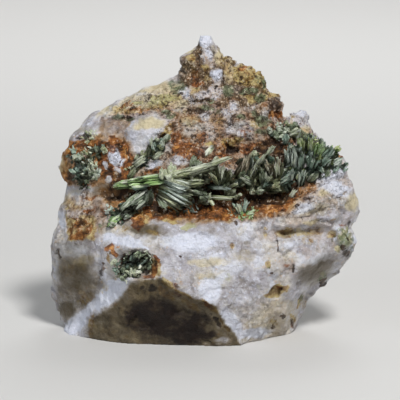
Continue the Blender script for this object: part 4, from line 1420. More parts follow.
GROWTHS: dict[str, list[Growth]] = {
    "main_crystal_sheaves": [
        Thicket(((-8.75, 7.5), (0, 9), (8.75, 10), (10.5, 5), (8.75, 0), (1.25, -1.25), (-5, 0), (-10, 2.5)),
                30, (0.7, 0.45, 0.5), (2.4, 4.4), (OL, DK, PL, PL)),
        Sheaf((-9.5, 5.2), (-15, 4.6), 2.4, (2.6, 2.6), 30, BR, 0.55),
        Sheaf((-13, 4.6), (-18.5, 3.8), 2, (2.4, 2.4), 28, BR, 0.55),
        Sheaf((-16, 4.2), (-22, 3.2), 1.8, (2.2, 1.6), 24, BR, 0.55),
        Sheaf((-10.5, 5.6), (-16.5, 5), 2.2, (1.2, 1), 9, DK, 0.7),
        Sheaf((-15.5, 4.8), (-20, 4.2), 1.8, (1.2, 1), 8, PL, 0.6),
        Sheaf((-13, 3.6), (-17, 2.8), 2, (1.2, 1), 9, TL, 0.7),
        Sheaf((-9.75, 5.25), (-1.8, 3.2), 3.6, (1.5, 2.8), 36, PL, 0.42),
        Sheaf((-10, 3.75), (-1, 0.9), 4.2, (1.8, 3), 42, PL, 0.42),
        Sheaf((-10.25, 2.25), (-1.8, -1.2), 4.2, (1.8, 2.8), 38, PL, 0.42),
        Sheaf((-10.5, 1.2), (-4.2, -2.5), 3.6, (1.4, 2.4), 28, OL, 0.45),
        Sheaf((-10.75, 0.5), (-8, -2.4), 2.6, (1.2, 1.4), 14, DK, 0.5),
        Sheaf((-9.5, 5.5), (-1, 7.5), 2.8, (1.6, 2), 26, OL, 0.5),
        Sheaf((-6.25, 5.5), (4.8, 9), 3, (2.2, 2), 40, PL, 0.42),
        Sheaf((0, 8), (8.8, 11.2), 3.2, (1.6, 0.7), 20, OL, 0.42),
        Sheaf((-5, 3.75), (1.5, 4.6), 3.4, (2, 2.6), 26, OL, 0.5),
        Sheaf((-4, 2.5), (1.25, 1.75), 3, (1.8, 2.2), 20, DK, 0.5),
        Sheaf((5, 3.5), (3, 8), 4, (1.6, 2.8), 22, OL, 0.5),
        Sheaf((5.2, 3.5), (5.5, 8.75), 4.6, (1.8, 2.8), 32, PL, 0.42),
        Sheaf((5.6, 3.5), (7.75, 8), 4, (1.6, 2.4), 22, OL, 0.5),
        Sheaf((5.2, 3.2), (6, 5.6), 4.4, (2, 3.6), 20, DK, 0.5),
        Sheaf((1.75, 3.5), (8.25, 2.75), 3.6, (0.8, 0.6), 9, IC, 0.45),
        Sheaf((1.75, 0.75), (9.5, 0.25), 3.6, (1.2, 0.9), 16, OL, 0.5),
        Sheaf((2, 0.75), (3.75, -1.6), 2.8, (0.8, 0.8), 8, OL, 0.5),
        Sheaf((-9.6, 4.8), (-2, 2), 4.8, (1.6, 3.6), 20, IC, 0.34),
        Sheaf((-9.9, 3.2), (-2, -0.4), 4.8, (1.6, 3.6), 20, IC, 0.34),
        Tuft((-3, -1.2), 1.8, 1.8, 34, IC, 0.4),
        Tuft((-5.5, -2.2), 1.3, 1.2, 16, DK, 0.4),
        Tuft((0.5, 2.6), 1.4, 1.4, 18, DK, 0.45),
    ],
    "right_crystal_sheaves": [
        Thicket(((8.75, 10), (15.5, 11), (22, 10.5), (25, 5), (22.5, 2), (15.5, 2.5), (10, 1.5)),
                50, (0.1, 0.6, 0.8), (2.6, 4.8), (DK, TL, OL, OL, PL)),
        Sheaf((10, 5), (12.5, 12), 4, (1.4, 2), 18, TN, 0.5),
        Sheaf((9, 5.5), (11.5, 10.5), 3.4, (1.2, 1.6), 14, TN, 0.5),
        Sheaf((11.75, 4), (14, 9.5), 4.4, (1.4, 2.2), 22, OL, 0.5),
        Sheaf((13.75, 8), (17, 12.25), 3.4, (1, 1), 12, PL, 0.5),
        Sheaf((16.5, 11), (19, 14), 2, (0.8, 1), 8, PL, 0.5),
        Sheaf((14.5, 3.25), (10, 6), 3.8, (1.6, 1.8), 18, DK, 0.5),
        Sheaf((18.5, 4.5), (16.5, 10), 4.6, (1.2, 2), 16, TN, 0.55),
        Sheaf((18.7, 4.5), (18.25, 10.6), 4.8, (1.2, 2), 16, TN, 0.55),
        Sheaf((19, 4.5), (19.9, 10.75), 4.4, (1.2, 2), 16, TN, 0.55),
        Sheaf((19.2, 4.4), (21.2, 9.6), 4, (1.2, 1.8), 14, OL, 0.5),
        Sheaf((16, 3.5), (15.5, 8), 4.6, (2.4, 3.4), 30, DK, 0.5),
        Sheaf((13, 3), (14, 6.4), 4.2, (1.4, 2.2), 18, OL, 0.5),
        Sheaf((15.5, 2.5), (17.5, 4.6), 3.8, (1.6, 2.4), 18, TL, 0.5),
        Sheaf((17.5, 2.75), (20.5, 2.4), 3.2, (0.7, 0.8), 7, PL, 0.5),
        Sheaf((19, 3.5), (22.5, 6), 3.8, (1.8, 2.4), 20, TL, 0.5),
        Sheaf((22.25, 0.75), (24.25, 3), 1.8, (0.8, 1.2), 9, PL, 0.45),
        Sheaf((12.5, 6), (13.4, 11.2), 3.8, (0.8, 1), 8, IC, 0.5),
        Sheaf((19.6, 4.6), (19, 9.2), 4.9, (1, 1.8), 12, PL, 0.36),
        Sheaf((14.6, 4.4), (13.4, 8.6), 4.6, (0.9, 1.6), 10, IC, 0.34),
        Sheaf((16.4, 3.6), (18, 6.8), 4.6, (1, 1.6), 12, PL, 0.36),
    ],
    "right_crystal_mass": [
        Thicket(((21.25, 15), (25, 15.8), (32.5, 14.2), (36, 11.25), (35.5, 7.5), (30.5, 5.5), (25, 3.5),
                 (21.25, 5)), 84, (0.3, 0.7, 0.7), (1.8, 3.6), (TL, IC, LM, DK, TL), 1.4, 9, 0.4, 0.62),
        Sheaf((22.5, 8), (21.75, 13.75), 3.8, (1.4, 1.6), 16, IC, 0.5),
        Sheaf((23.5, 7.5), (23.5, 13.25), 4.2, (1.6, 1.8), 18, IC, 0.5),
        Sheaf((25, 7), (25.25, 12), 4.4, (1.6, 2.4), 20, TL, 0.5),
        Sheaf((22.5, 4.5), (23.25, 7.8), 3.8, (1.4, 2), 16, IC, 0.45),
        Sheaf((25, 4), (25.75, 7.4), 4, (1.6, 2.4), 18, TL, 0.5),
        Sheaf((25.5, 12), (25, 15.5), 2.8, (1.6, 2.6), 20, LM, 0.5),
        Sheaf((27.5, 12), (27.75, 15.4), 2.8, (1.6, 2.6), 20, LM, 0.5),
        Sheaf((29, 10.5), (30.5, 14.5), 3, (1.6, 2.6), 22, BR, 0.5),
        Sheaf((30.5, 10), (33.5, 13), 2.8, (1.6, 2.4), 20, TL, 0.5),
        Sheaf((27.5, 7.5), (28.5, 10.8), 4, (2, 2.6), 22, TL, 0.5),
        Sheaf((30, 8), (32.5, 10.5), 3.4, (1.8, 2.4), 20, TL, 0.5),
        Sheaf((32.5, 8.5), (36, 10.2), 2.6, (1.6, 2), 18, IC, 0.5),
        Sheaf((27, 5), (29.5, 6.75), 3.4, (1.4, 2), 16, DK, 0.5),
        Sheaf((31.5, 11.5), (35, 12.2), 2.4, (1.2, 1.6), 14, BR, 0.5),
        Tuft((27, 10.6), 2.2, 2.2, 40, IC, 0.36),
        Tuft((31, 12), 1.8, 1.8, 30, BR, 0.4),
        Tuft((31.8, 10.4), 1.8, 1.7, 36, IC, 0.36),
        Tuft((27.4, 14.2), 1.8, 1.6, 32, LM, 0.4),
        Tuft((24.2, 6.4), 1.4, 1.6, 24, IC, 0.36),
        Tuft((29.2, 6.2), 1.6, 1.6, 22, TL, 0.45),
    ],
    "top_right_crystal_crust": [
        Thicket(((15.5, 17), (21.25, 19), (25, 18.5), (25, 16.5), (21.25, 15.5), (17, 15.5)),
                18, (0.0, 0.4, 0.9), (1.2, 2.4), (DK, OL, DK), 1.6, 7, 0.5, 0.8),
        Sheaf((22, 16.75), (19, 15.9), 1.6, (1.2, 1.6), 16, DK, 0.5),
        Sheaf((20.75, 17), (16.8, 16.4), 1.4, (1, 1.2), 12, TL, 0.5),
        Sheaf((22.5, 16.5), (25, 17.4), 1.8, (1.2, 1.8), 16, OL, 0.5),
        Tuft((21, 17.2), 1.7, 1.4, 26, DK, 0.45),
        Tuft((20.2, 18.6), 0.8, 0.8, 8, IC, 0.4),
    ],
    "lower_left_crystal_arm": [
        Sheaf((-13, 1.6), (-17.4, -2), 2.6, (3.6, 3.4), 52, DP, 0.6),
        Sheaf((-15.6, -0.6), (-20.6, -4.8), 2.2, (3.4, 3), 48, DP, 0.6),
        Sheaf((-13.6, 1.4), (-17, -1.2), 3, (2.4, 2.2), 26, DK, 0.5),
        Sheaf((-14.4, 2.4), (-20.2, -2.8), 3.2, (1.3, 1.2), 20, DK, 0.5),
        Sheaf((-16.2, -0.8), (-19.4, -3.4), 2.7, (2.2, 2), 24, DP, 0.5),
        Sheaf((-13.4, -1.2), (-12.4, 2.2), 2.8, (2, 2.6), 30, DP, 0.6),
        Tuft((-14.6, 0.4), 1.5, 2.6, 26, DK, 0.5),
        Tuft((-17.4, -2.2), 1.5, 2.4, 26, DK, 0.5),
        Tuft((-20, -4.6), 1.3, 1.9, 22, TL, 0.45),
        Sheaf((-19, -3.6), (-23.6, -7), 1.6, (2.4, 2.4), 18, BR, 0.6),
        Thicket(((-13.5, 2.5), (-11.5, 1), (-12.5, -1.5), (-15.5, -3), (-18.5, -5.5), (-22, -6.2), (-23, -5),
                 (-20.5, -2.5), (-17, 0)), 16, (-0.7, -0.4, 0.5), (1.8, 3), (DP, TL, DK), 1.5, 8, 0.3, 0.7),
        Tuft((-22.3, -2.8), 1.2, 1.5, 16, IC, 0.5),
        Tuft((-16, -1.4), 0.8, 2.6, 8, IC, 0.4),
        Tuft((-17.6, 0.2), 0.9, 1.8, 10, OL, 0.5),
    ],
    "diagonal_crystal_row": [
        Thicket(((-17.5, 7.5), (-15, 10), (-10, 12.5), (-8.75, 15.5), (-11, 16), (-13, 13), (-17, 10)),
                18, (0.6, 0.6, 0.5), (2.0, 3.4), (TL, OL, DK, PL), 1.3, 6, 0.4, 0.75),
        Sheaf((-11.75, 10.5), (-9.25, 12.1), 2.2, (1, 1.4), 12, PL, 0.5),
        Sheaf((-11.25, 12), (-11.6, 14.4), 1.8, (1.2, 1.4), 12, TL, 0.5),
        Sheaf((-9.7, 13.4), (-8.9, 15.2), 1.6, (0.9, 1.2), 10, DK, 0.5),
        Sheaf((-16.5, 8.75), (-13.4, 10.8), 2.2, (1.2, 1.4), 16, PL, 0.55),
        Sheaf((-18, 5.5), (-16, 8.2), 2, (1, 1.4), 14, OL, 0.5),
        Tuft((-11, 12.6), 1.6, 1.4, 26, TL, 0.4),
        Tuft((-14.4, 9.8), 1.2, 1.3, 18, TL, 0.45),
        Tuft((-17.2, 7), 1.1, 1.2, 16, OL, 0.45),
    ],
    "left_crystal_cluster": [
        Thicket(((-32.2, 12), (-28, 12.2), (-24.2, 12.6), (-24.2, 11), (-27, 9.8), (-31.6, 9.8)),
                5, (0.4, 0.3, 0.7), (1.6, 2.4), (DK, OL), 1.3, 8, 0.5, 0.8),
        Thicket(((-31.2, 7.6), (-26, 7.8), (-24.6, 6.2), (-25.8, 4.6), (-30.2, 4.4), (-31.6, 5.6)),
                8, (0.3, 0.5, 0.8), (1.8, 2.8), (DK, TL), 1.4, 8, 0.5, 0.8),
        Tuft((-31.3, 11.2), 1.2, 1.7, 34, TL, 0.5),
        Tuft((-28.6, 11.5), 1.1, 1.5, 28, OL, 0.5),
        Tuft((-26, 12), 1.1, 1.5, 26, PL, 0.5),
        Tuft((-24.6, 12.4), 0.7, 1.2, 12, TL, 0.45),
        Tuft((-28.2, 9.4), 1.2, 1.6, 30, DK, 0.5),
        Tuft((-27, 8.2), 1, 1.6, 20, PL, 0.5),
        Tuft((-30, 6.8), 1.4, 1.8, 38, TL, 0.5),
        Tuft((-27.4, 6.6), 1.5, 2, 42, PL, 0.5),
        Tuft((-28.8, 4.9), 1.3, 1.7, 32, DK, 0.5),
        Tuft((-25.8, 6.2), 1, 1.5, 20, IC, 0.45),
    ],
    "pocket_crystal_cluster": [
        Thicket(((-22, -15.5), (-16.25, -13), (-12.5, -14), (-12.5, -16.5), (-16.25, -18.75), (-20, -19.5),
                 (-22, -18.5)), 18, (0.1, 0.3, 0.9), (1.4, 2.4), (TL, PL, DK), 1.6, 7, 0.7, 0.8),
        Tuft((-20, -17.2), 1.5, 1.6, 26, TL, 0.4),
        Tuft((-18.6, -18.4), 1.5, 1.6, 26, PL, 0.4),
        Tuft((-16.8, -18), 1.4, 1.5, 24, TL, 0.4),
        Tuft((-14.8, -15.8), 1.3, 1.5, 20, TL, 0.4),
        Tuft((-17.4, -14.4), 1.2, 1.2, 16, DK, 0.4),
        Tuft((-12.9, -14.2), 1.1, 1.4, 16, DK, 0.4),
        Sheaf((-16.6, -17), (-12.4, -14.2), 2.4, (0.8, 1.2), 12, TL, 0.45),
    ],
    "lower_crystal_star": [
        Sheaf((10.6, -3), (11.6, 0.4), 1.8, (1.2, 1.5), 12, TL, 0.36),
        Sheaf((10.4, -3.2), (9.2, -0.9), 1.5, (1, 1.6), 10, PL, 0.36),
        Sheaf((11.4, -3.4), (14, -3.2), 1.4, (0.9, 1.5), 10, BR, 0.36),
        Tuft((10.4, -2.4), 1.5, 1.5, 30, TL, 0.36),
        Tuft((12.4, -3.2), 1.3, 1.2, 22, BR, 0.36),
        Tuft((8.6, -2.8), 1.2, 1.1, 18, PL, 0.36),
        Tuft((10.8, -4), 1, 1, 12, BR, 0.36),
    ],
    "stray_crystal": [Sheaf((3.2, 13.6), (1.2, 10.6), 1.6, (0.5, 0.9), 8, PL, 0.65)],
    "left_crystal_tuft": [
        Tuft((-27.6, 15.6), 1.2, 1.4, 22, OL, 0.45),
        Tuft((-26.6, 16.8), 0.8, 0.9, 8, PL, 0.4)],
}


@dataclass(frozen=True)
class PyromorphiteFinish:
    """Resinous green crystal, coloured needle by needle."""

    name: str = "green_pyromorphite"
    dust: Colour = srgb(232, 236, 222)
    root_stain: Colour = srgb(34, 28, 14)

    def material(self) -> bpy.types.Material:
        """Builds the shader.

        Returns:
            The material.
        """
        made = bpy.data.materials.new(self.name)
        made.use_nodes = True
        w = Wiring(made.node_tree)
        shader = made.node_tree.nodes["Principled BSDF"]
        place = w.scaled(w.node("ShaderNodeTexCoord", {}, {}, "Object"), 1 / MM)
        root = w.node("ShaderNodeAttribute", {"attribute_name": "root_colour"}, {}, "Color")
        tip = w.node("ShaderNodeAttribute", {"attribute_name": "tip_colour"}, {}, "Color")
        along = w.node("ShaderNodeAttribute", {"attribute_name": "along"}, {}, "Fac")
        tint = w.node("ShaderNodeAttribute", {"attribute_name": "tint"}, {}, "Fac")
        cloud = w.noise(place, 0.9, 3.0, 0.6)
        local = w.node("ShaderNodeAttribute", {"attribute_name": "local"}, {}, "Vector")
        drawn_out = w.node("ShaderNodeVectorMath", {"operation": "MULTIPLY_ADD"}, {
            0: local, 1: (3.2, 3.2, 0.5), 2: w.scaled(place, 0.12),
        }, "Vector")
        stripes = w.noise(drawn_out, 0.5, 2.0, 0.6)
        colour = w.mixed(w.ramp(along + (cloud - 0.5) * 0.9, 0.1, 0.56), root, tip)
        colour = w.mixed(w.ramp(along, 0.9, 1.0) * 0.5, colour, root)
        streaks = w.ramp(stripes, 0.54, 0.66) * (0.2 + w.ramp(tint, 0.1, 0.6) * 0.5)
        colour = w.mixed(streaks, colour, self.dust)
        colour = w.mixed(w.ramp(stripes, 0.46, 0.36) * 0.65, colour, root)
        colour = w.mixed(w.ramp(tint, 0.62, 1.0) * 0.5, colour, self.dust)
        colour = w.mixed(w.ramp(tint, 0.42, 0.05) * 0.7, colour, root)
        colour = w.mixed(w.ramp(tint, 0.14, 0.0) * 0.6, colour, self.root_stain)
        colour = w.mixed(w.ramp(along, 0.3, 0.0) * 0.6, colour, self.root_stain)
        w.feed(shader.inputs["Base Color"], colour)
        w.feed(shader.inputs["Roughness"], 0.16 + cloud * 0.34)
        bump = w.node("ShaderNodeBump", {}, {
            "Strength": 0.5, "Distance": 0.0002, "Height": stripes + w.noise(place, 0.5, 3.0, 0.6) * 0.8,
        }, "Normal")
        w.feed(shader.inputs["Normal"], bump)
        shader.inputs["IOR"].default_value = 1.7
        shader.inputs["Specular IOR Level"].default_value = 0.3
        shader.inputs["Subsurface Weight"].default_value = 0.08
        shader.inputs["Subsurface Radius"].default_value = (0.7, 1.0, 0.5)
        shader.inputs["Subsurface Scale"].default_value = 0.0006
        return made


@dataclass
class CrystalGrowths:
    """Every growth of green needles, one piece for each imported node."""

    root_depth: float = 0.5
    thickness_share: float = 0.75
    shortest: float = 0.72
    taper: float = 0.34
    slant: float = 0.24
    wobble: float = 0.34
    open_side: tuple[float, float, float] = (0.1, -0.75, 0.65)
    cover_from: float = 0.5
    cover_to: float = 4.0
    cover_width: float = 1.7
    cover_most: float = 8.0
    seed: int = 19
    tree: GeometryTree = field(init=False)
    stone: BVHTree = field(init=False)
    material: bpy.types.Material = field(init=False)

    def __post_init__(self) -> None:
        """Makes what the growths share."""
        self.tree = self.needle_tree()
        self.material = PyromorphiteFinish().material()
        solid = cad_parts["quartz_matrix"].data
        corners = [Vector(p) for p in points_of(solid)]
        self.stone = BVHTree.FromPolygons(corners, [tuple(f.vertices) for f in solid.polygons])

    def needle_tree(self) -> GeometryTree:
        """Stands a six-sided needle on every point, along the point's own direction.

        Returns:
            The tree.
        """
        g = GeometryTree("crystal_needles")
        sides, taper = g.named("Sides", "NodeSocketInt"), g.named("Taper")
        slant, wobble = g.named("Slant"), g.named("Wobble")
        material = g.named("Material", "NodeSocketMaterial")
        prism = g.node("GeometryNodeMeshCylinder", {"fill_type": "NGON"}, {
            "Vertices": sides, "Side Segments": 3, "Radius": 0.5, "Depth": 1.0,
        }, "Mesh")
        position = g.node("GeometryNodeInputPosition")
        below = g.node("ShaderNodeSeparateXYZ", {}, {"Vector": position}, "Z") + 0.5
        along = below + g.ramp(below, 0.5, 0.8) * (1 - below) * 0.6
        marked = g.node("GeometryNodeStoreNamedAttribute", {"data_type": "FLOAT", "domain": "POINT"}, {
            "Geometry": prism, "Name": "along", "Value": along,
        }, "Geometry")
        up = g.attribute("along")
        slimmer = 1 - g.ramp(up, 0.72, 1.0) * taper
        x = g.node("ShaderNodeSeparateXYZ", {}, {"Vector": position}, "X")
        shape = g.node("ShaderNodeCombineXYZ", {}, {
            "X": x * slimmer, "Y": x.also("Y") * slimmer, "Z": up - (0.5 - x) * g.ramp(up, 0.5, 1.0) * slant,
        }, "Vector")
        shaped = g.node("GeometryNodeSetPosition", {}, {"Geometry": marked, "Position": shape}, "Geometry")
        shaped = g.node("GeometryNodeStoreNamedAttribute", {"data_type": "FLOAT_VECTOR", "domain": "POINT"}, {
            "Geometry": shaped, "Name": "local", "Value": position,
        }, "Geometry")
        aligned = g.node("FunctionNodeAlignRotationToVector", {"axis": "Z"}, {
            "Vector": g.attribute("direction", "FLOAT_VECTOR"),
        }, "Rotation")
        twist = g.node("FunctionNodeAxisAngleToRotation", {}, {
            "Axis": (0.0, 0.0, 1.0), "Angle": g.attribute("twist"),
        }, "Rotation")
        turned = g.node("FunctionNodeRotateRotation", {"rotation_space": "LOCAL"}, {
            "Rotation": aligned, "Rotate By": twist,
        }, "Rotation")
        placed = g.node("GeometryNodeInstanceOnPoints", {}, {
            "Points": g.geometry(), "Instance": shaped, "Rotation": turned,
            "Scale": g.attribute("stretch", "FLOAT_VECTOR"),
        }, "Instances")
        joined = g.node("GeometryNodeRealizeInstances", {}, {"Geometry": placed}, "Geometry")
        wander = g.node("ShaderNodeTexNoise", {}, {
            "Vector": g.scaled(g.node("GeometryNodeInputPosition"), 1 / MM), "Scale": 1.1, "Detail": 2.0,
        }, "Color")
        strayed = g.node("ShaderNodeVectorMath", {"operation": "SUBTRACT"}, {
            0: wander, 1: (0.5, 0.5, 0.5),
        }, "Vector")
        rough = g.node("GeometryNodeSetPosition", {}, {
            "Geometry": joined, "Offset": g.scaled(strayed, wobble * 3 * MM),
        }, "Geometry")
        g.ends_in(rough, material)
        return g

    def surface(self, place: Place) -> tuple[Vector, Vector]:
        """Where the stone's surface is seen at a place, and its normal there."""
        point, normal, _, _ = self.stone.ray_cast(SURVEY.eye(), SURVEY.sight(place))
        return point, normal

    def sheaf(self, sheaf: Sheaf, rng: np.random.Generator) -> list[Needle]:
        """Lays out a sheaf.

        Args:
            sheaf: The sheaf.
            rng: Where random numbers come from.

        Returns:
            Its needles.
        """
        root, normal = self.surface(sheaf.root)
        tip = SURVEY.point(sheaf.tip, root.y - SURVEY.aim[1] - sheaf.lift)
        along = tip - root
        across = along.cross(SURVEY.sight(sheaf.root)).normalized()
        outward = along.cross(across).normalized()
        if outward.dot(SURVEY.sight(sheaf.root)) > 0:
            outward.negate()
        low, high = sheaf.spread
        needles = []
        for _ in range(sheaf.needles):
            angle, out = rng.uniform(0, math.tau), math.sqrt(rng.uniform(0, 1)) / 2
            x, y = math.cos(angle) * out, math.sin(angle) * out * self.thickness_share
            foot = root + across * (x * low) + outward * (y * low) - normal * self.root_depth
            reach = rng.uniform(self.shortest, 1.0) - abs(x) * 0.15
            head = root + along * reach + across * (x * high) + outward * (y * high)
            girth = sheaf.girth * rng.uniform(0.65, 1.25)
            needles.append(Needle(foot, head, girth, sheaf.tone, rng.uniform(0, 1)))
        return needles

    def tuft(self, tuft: Tuft, rng: np.random.Generator) -> list[Needle]:
        """Lays out a tuft.

        Args:
            tuft: The tuft.
            rng: Where random numbers come from.

        Returns:
            Its needles.
        """
        middle, normal = self.surface(tuft.place)
        needles = []
        for _ in range(tuft.needles):
            angle, out = rng.uniform(0, math.tau), math.sqrt(rng.uniform(0, 1)) * tuft.reach
            spot = (tuft.place[0] + math.cos(angle) * out, tuft.place[1] + math.sin(angle) * out)
            found, steep = self.surface(spot)
            if found is None or abs(found.y - middle.y) > tuft.reach * 2:
                found, steep = middle, normal
            lean = Vector(rng.normal(0, 1, 3)).normalized() * 0.75
            sideways = (found - middle) * (0.35 / tuft.reach)
            direction = (normal * 0.6 + steep * 0.4 + lean + sideways).normalized()
            if direction.dot(normal) < 0.1:
                direction = (direction + normal).normalized()
            foot = found - steep * self.root_depth
            tall = (tuft.height + self.root_depth) * rng.uniform(0.55, 1.0)
            girth = tuft.girth * rng.uniform(0.65, 1.35)
            needles.append(Needle(foot, foot + direction * tall, girth, tuft.tone, rng.uniform(0, 1)))
        return needles

    def thicket(self, thicket: Thicket, rng: np.random.Generator) -> list[Needle]:
        """Lays out a thicket, bundle by bundle.

        Args:
            thicket: The thicket.
            rng: Where random numbers come from.

        Returns:
            Its needles.
        """
        field_area = Area(Stain.DENT, thicket.outline, 0.01)
        low, high = np.min(thicket.outline, axis=0), np.max(thicket.outline, axis=0)
        spots = rng.uniform(low, high, (thicket.bundles * 12, 2))
        spots = spots[field_area.cover(spots) > 0.5][:thicket.bundles]
        across, up, out = thicket.lean
        needles = []
        for spot in spots:
            found, normal = self.surface(tuple(spot))
            if found is None:
                continue
            wild = Vector(rng.normal(0, 1, 3)) * thicket.unrest
            direction = (Vector((across, -out, up)).normalized() + normal * 0.35 + wild).normalized()
            if direction.dot(normal) < 0.15:
                direction = (direction + normal * 0.8).normalized()
            aside = direction.orthogonal().normalized()
            beside = direction.cross(aside)
            tone = thicket.tones[rng.integers(len(thicket.tones))]
            tall = rng.uniform(*thicket.length)
            dust = rng.uniform(0, 1)
            wide = thicket.width * rng.uniform(0.7, 1.2)
            for _ in range(thicket.needles):
                angle, far = rng.uniform(0, math.tau), math.sqrt(rng.uniform(0, 1)) / 2
                step = (aside * math.cos(angle) + beside * math.sin(angle)) * (far * wide)
                foot = found - normal * self.root_depth + step * 0.7
                reach = tall * (rng.uniform(0.72, 1.0) - far * far * 0.8)
                head = found + direction * reach + step * 1.25
                girth = thicket.girth * rng.uniform(0.7, 1.25)
                needles.append(Needle(foot, head, girth, tone, 0.65 * dust + 0.35 * rng.uniform(0, 1)))
        return needles

    def shaded_tints(self, needles: Sequence[Needle]) -> np.ndarray:
        """Each needle's tint, lower where the heads of its neighbours stand in front of its own.

        Args:
            needles: The needles of one growth.

        Returns:
            A tint for each, from 0 to 1.
        """
        heads = np.array([needle.head for needle in needles])
        steps = heads[None, :, :] - heads[:, None, :]
        ahead = steps @ np.array(self.open_side)
        aside = np.linalg.norm(steps, axis=2) ** 2 - ahead ** 2
        covering = (ahead > self.cover_from) & (ahead < self.cover_to) & (aside < self.cover_width ** 2)
        buried = np.clip(covering.sum(axis=1) / self.cover_most, 0.0, 1.0)
        tints = np.array([needle.tint for needle in needles])
        return tints * (1 - buried) + (0.2 + 0.1 * tints) * (1 - buried)

    def build_growth(self, node: str, parts: Sequence[Growth], seed: int) -> bpy.types.Object:
        """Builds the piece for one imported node.

        Args:
            node: The node's name.
            parts: Its sheaves and tufts.
            seed: The seed for its random numbers.

        Returns:
            The piece.
        """
        rng = np.random.default_rng(seed)
        layouts = {Sheaf: self.sheaf, Tuft: self.tuft, Thicket: self.thicket}
        needles = [needle for part in parts for needle in layouts[type(part)](part, rng)]
        axes = [needle.head - needle.foot for needle in needles]
        roots = [needle.foot * MM for needle in needles]
        directions = [axis.normalized() for axis in axes]
        stretches = [
            (needle.girth * MM, needle.girth * MM * rng.uniform(0.75, 1.0), axis.length * MM)
            for needle, axis in zip(needles, axes)
        ]
        root_colours = [needle.tone.value[0] for needle in needles]
        tip_colours = [needle.tone.value[1] for needle in needles]
        tints = self.shaded_tints(needles)
        twists = rng.uniform(0, math.tau, len(needles))
        mesh = bpy.data.meshes.new(node + "_roots")
        mesh.from_pydata(roots, [], [])
        for name, kind, values, key in (
            ("direction", "FLOAT_VECTOR", directions, "vector"),
            ("stretch", "FLOAT_VECTOR", stretches, "vector"),
            ("root_colour", "FLOAT_COLOR", root_colours, "color"),
            ("tip_colour", "FLOAT_COLOR", tip_colours, "color"),
            ("tint", "FLOAT", tints, "value"),
            ("twist", "FLOAT", twists, "value"),
        ):
            attribute = mesh.attributes.new(name, kind, "POINT")
            attribute.data.foreach_set(key, np.array(values, np.float32).ravel())
        piece = self.tree.grown(object_of(node + "_roots", mesh), {
            "Sides": 6, "Taper": self.taper, "Slant": self.slant, "Wobble": self.wobble,
            "Material": self.material,
        }, node.replace("crystal", "needle"))
        kept_inside(piece.data)
        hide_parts(node)
        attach(piece, "root")
        return piece

    def build(self) -> list[bpy.types.Object]:
        """Builds every growth.

        Returns:
            The pieces.
        """
        return [self.build_growth(n, parts, self.seed + i) for i, (n, parts) in enumerate(GROWTHS.items())]


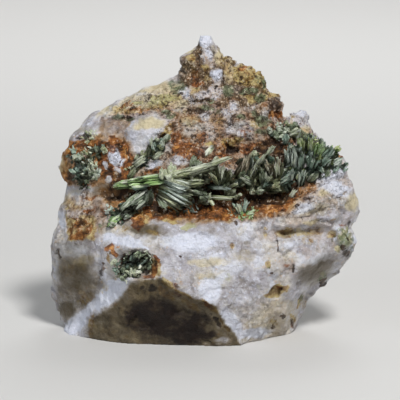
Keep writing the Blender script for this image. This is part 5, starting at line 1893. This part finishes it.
@dataclass
class Studio:
    """The pale floor, the soft lights and the camera."""

    half_frame: float = 50.0
    sensor: float = 36.0
    floor_half: float = 1.6
    wall_height: float = 1.2
    bend: float = 0.4
    floor_colour: Colour = srgb(214, 213, 211)

    def floor(self) -> bpy.types.Object:
        """Lays a floor that bends up into a wall far behind the stone.

        Returns:
            The floor.
        """
        steps = [(-self.floor_half, 0.0), (self.floor_half - self.bend, 0.0)]
        for i in range(1, 13):
            angle = math.pi / 2 * i / 12
            steps.append((
                self.floor_half - self.bend + self.bend * math.sin(angle), self.bend * (1 - math.cos(angle)),
            ))
        steps.append((self.floor_half, self.wall_height))
        bm = bmesh.new()
        rows = [[bm.verts.new((x, y, z)) for x in (-self.floor_half, self.floor_half)] for y, z in steps]
        for near, far in zip(rows, rows[1:]):
            bm.faces.new((near[0], near[1], far[1], far[0]))
        mesh = bpy.data.meshes.new("studio_floor")
        bm.to_mesh(mesh)
        bm.free()
        mesh.shade_smooth()
        finish = bpy.data.materials.new("pale_floor")
        finish.use_nodes = True
        shader = finish.node_tree.nodes["Principled BSDF"]
        shader.inputs["Base Color"].default_value = self.floor_colour
        shader.inputs["Roughness"].default_value = 0.8
        mesh.materials.append(finish)
        made = object_of("studio_floor", mesh)
        return made

    @staticmethod
    def light(
        name: str,
        place: Iterable[float],
        size: float,
        watts: float,
        colour: Sequence[float],
        target: Iterable[float] | None = None,
    ) -> None:
        """Adds a square soft light.

        Args:
            name: Its name.
            place: Where it stands, in metres.
            size: Its side, in metres.
            watts: Its power.
            colour: Its colour.
            target: The point that it faces, in metres, or the stone's middle where there is none.
        """
        lamp = bpy.data.lights.new(name, "AREA")
        lamp.shape = "SQUARE"
        lamp.size = size
        lamp.energy = watts
        lamp.color = colour
        made = bpy.data.objects.new(name, lamp)
        made.location = Vector(place)
        faced = Vector(target) if target else Vector(SURVEY.aim) * MM
        made.rotation_euler = (made.location - faced).to_track_quat("Z", "Y").to_euler()
        bpy.context.scene.collection.objects.link(made)

    def build(self) -> None:
        """Sets up the floor, the lights, the world and the camera."""
        self.floor()
        self.light("key", (0.14, -0.36, 0.52), 0.11, 3.5, (1.0, 0.995, 0.985))
        self.light("rim", (0.10, 0.42, 0.50), 0.3, 0.8, (0.95, 0.98, 1.0))
        self.light("fill", (-0.5, -0.32, 0.26), 0.25, 0.65, (0.84, 0.92, 1.0))
        self.light("backdrop", (0.0, 0.5, 0.9), 0.8, 9.0, (1.0, 1.0, 1.0), (0.0, 1.7, 0.1))
        world = bpy.data.worlds.new("soft_room")
        world.use_nodes = True
        world.node_tree.nodes["Background"].inputs["Color"].default_value = (0.97, 0.98, 1.0, 1.0)
        world.node_tree.nodes["Background"].inputs["Strength"].default_value = 0.05
        scene = bpy.context.scene
        scene.world = world
        scene.view_settings.view_transform = "Standard"
        camera = bpy.data.cameras.new("portrait_camera")
        camera.sensor_width = self.sensor
        camera.lens = self.sensor * SURVEY.distance / (2 * self.half_frame)
        camera.clip_start = 0.01
        made = bpy.data.objects.new("portrait_camera", camera)
        made.location = SURVEY.eye() * MM
        made.rotation_euler = (SURVEY.eye() - Vector(SURVEY.aim)).to_track_quat("Z", "Y").to_euler()
        scene.collection.objects.link(made)
        scene.camera = made


def main() -> None:
    """Builds the specimen and its studio, and reports each piece."""
    logging.basicConfig(level=logging.INFO, format="%(message)s")
    Studio().build()
    pieces = QuartzMatrix().build() + CrystalGrowths().build()
    for piece in pieces:
        triangles = sum(len(f.vertices) - 2 for f in piece.data.polygons)
        log.info("%s: %d triangles", piece.name, triangles)


if __name__ == "__main__":
    main()
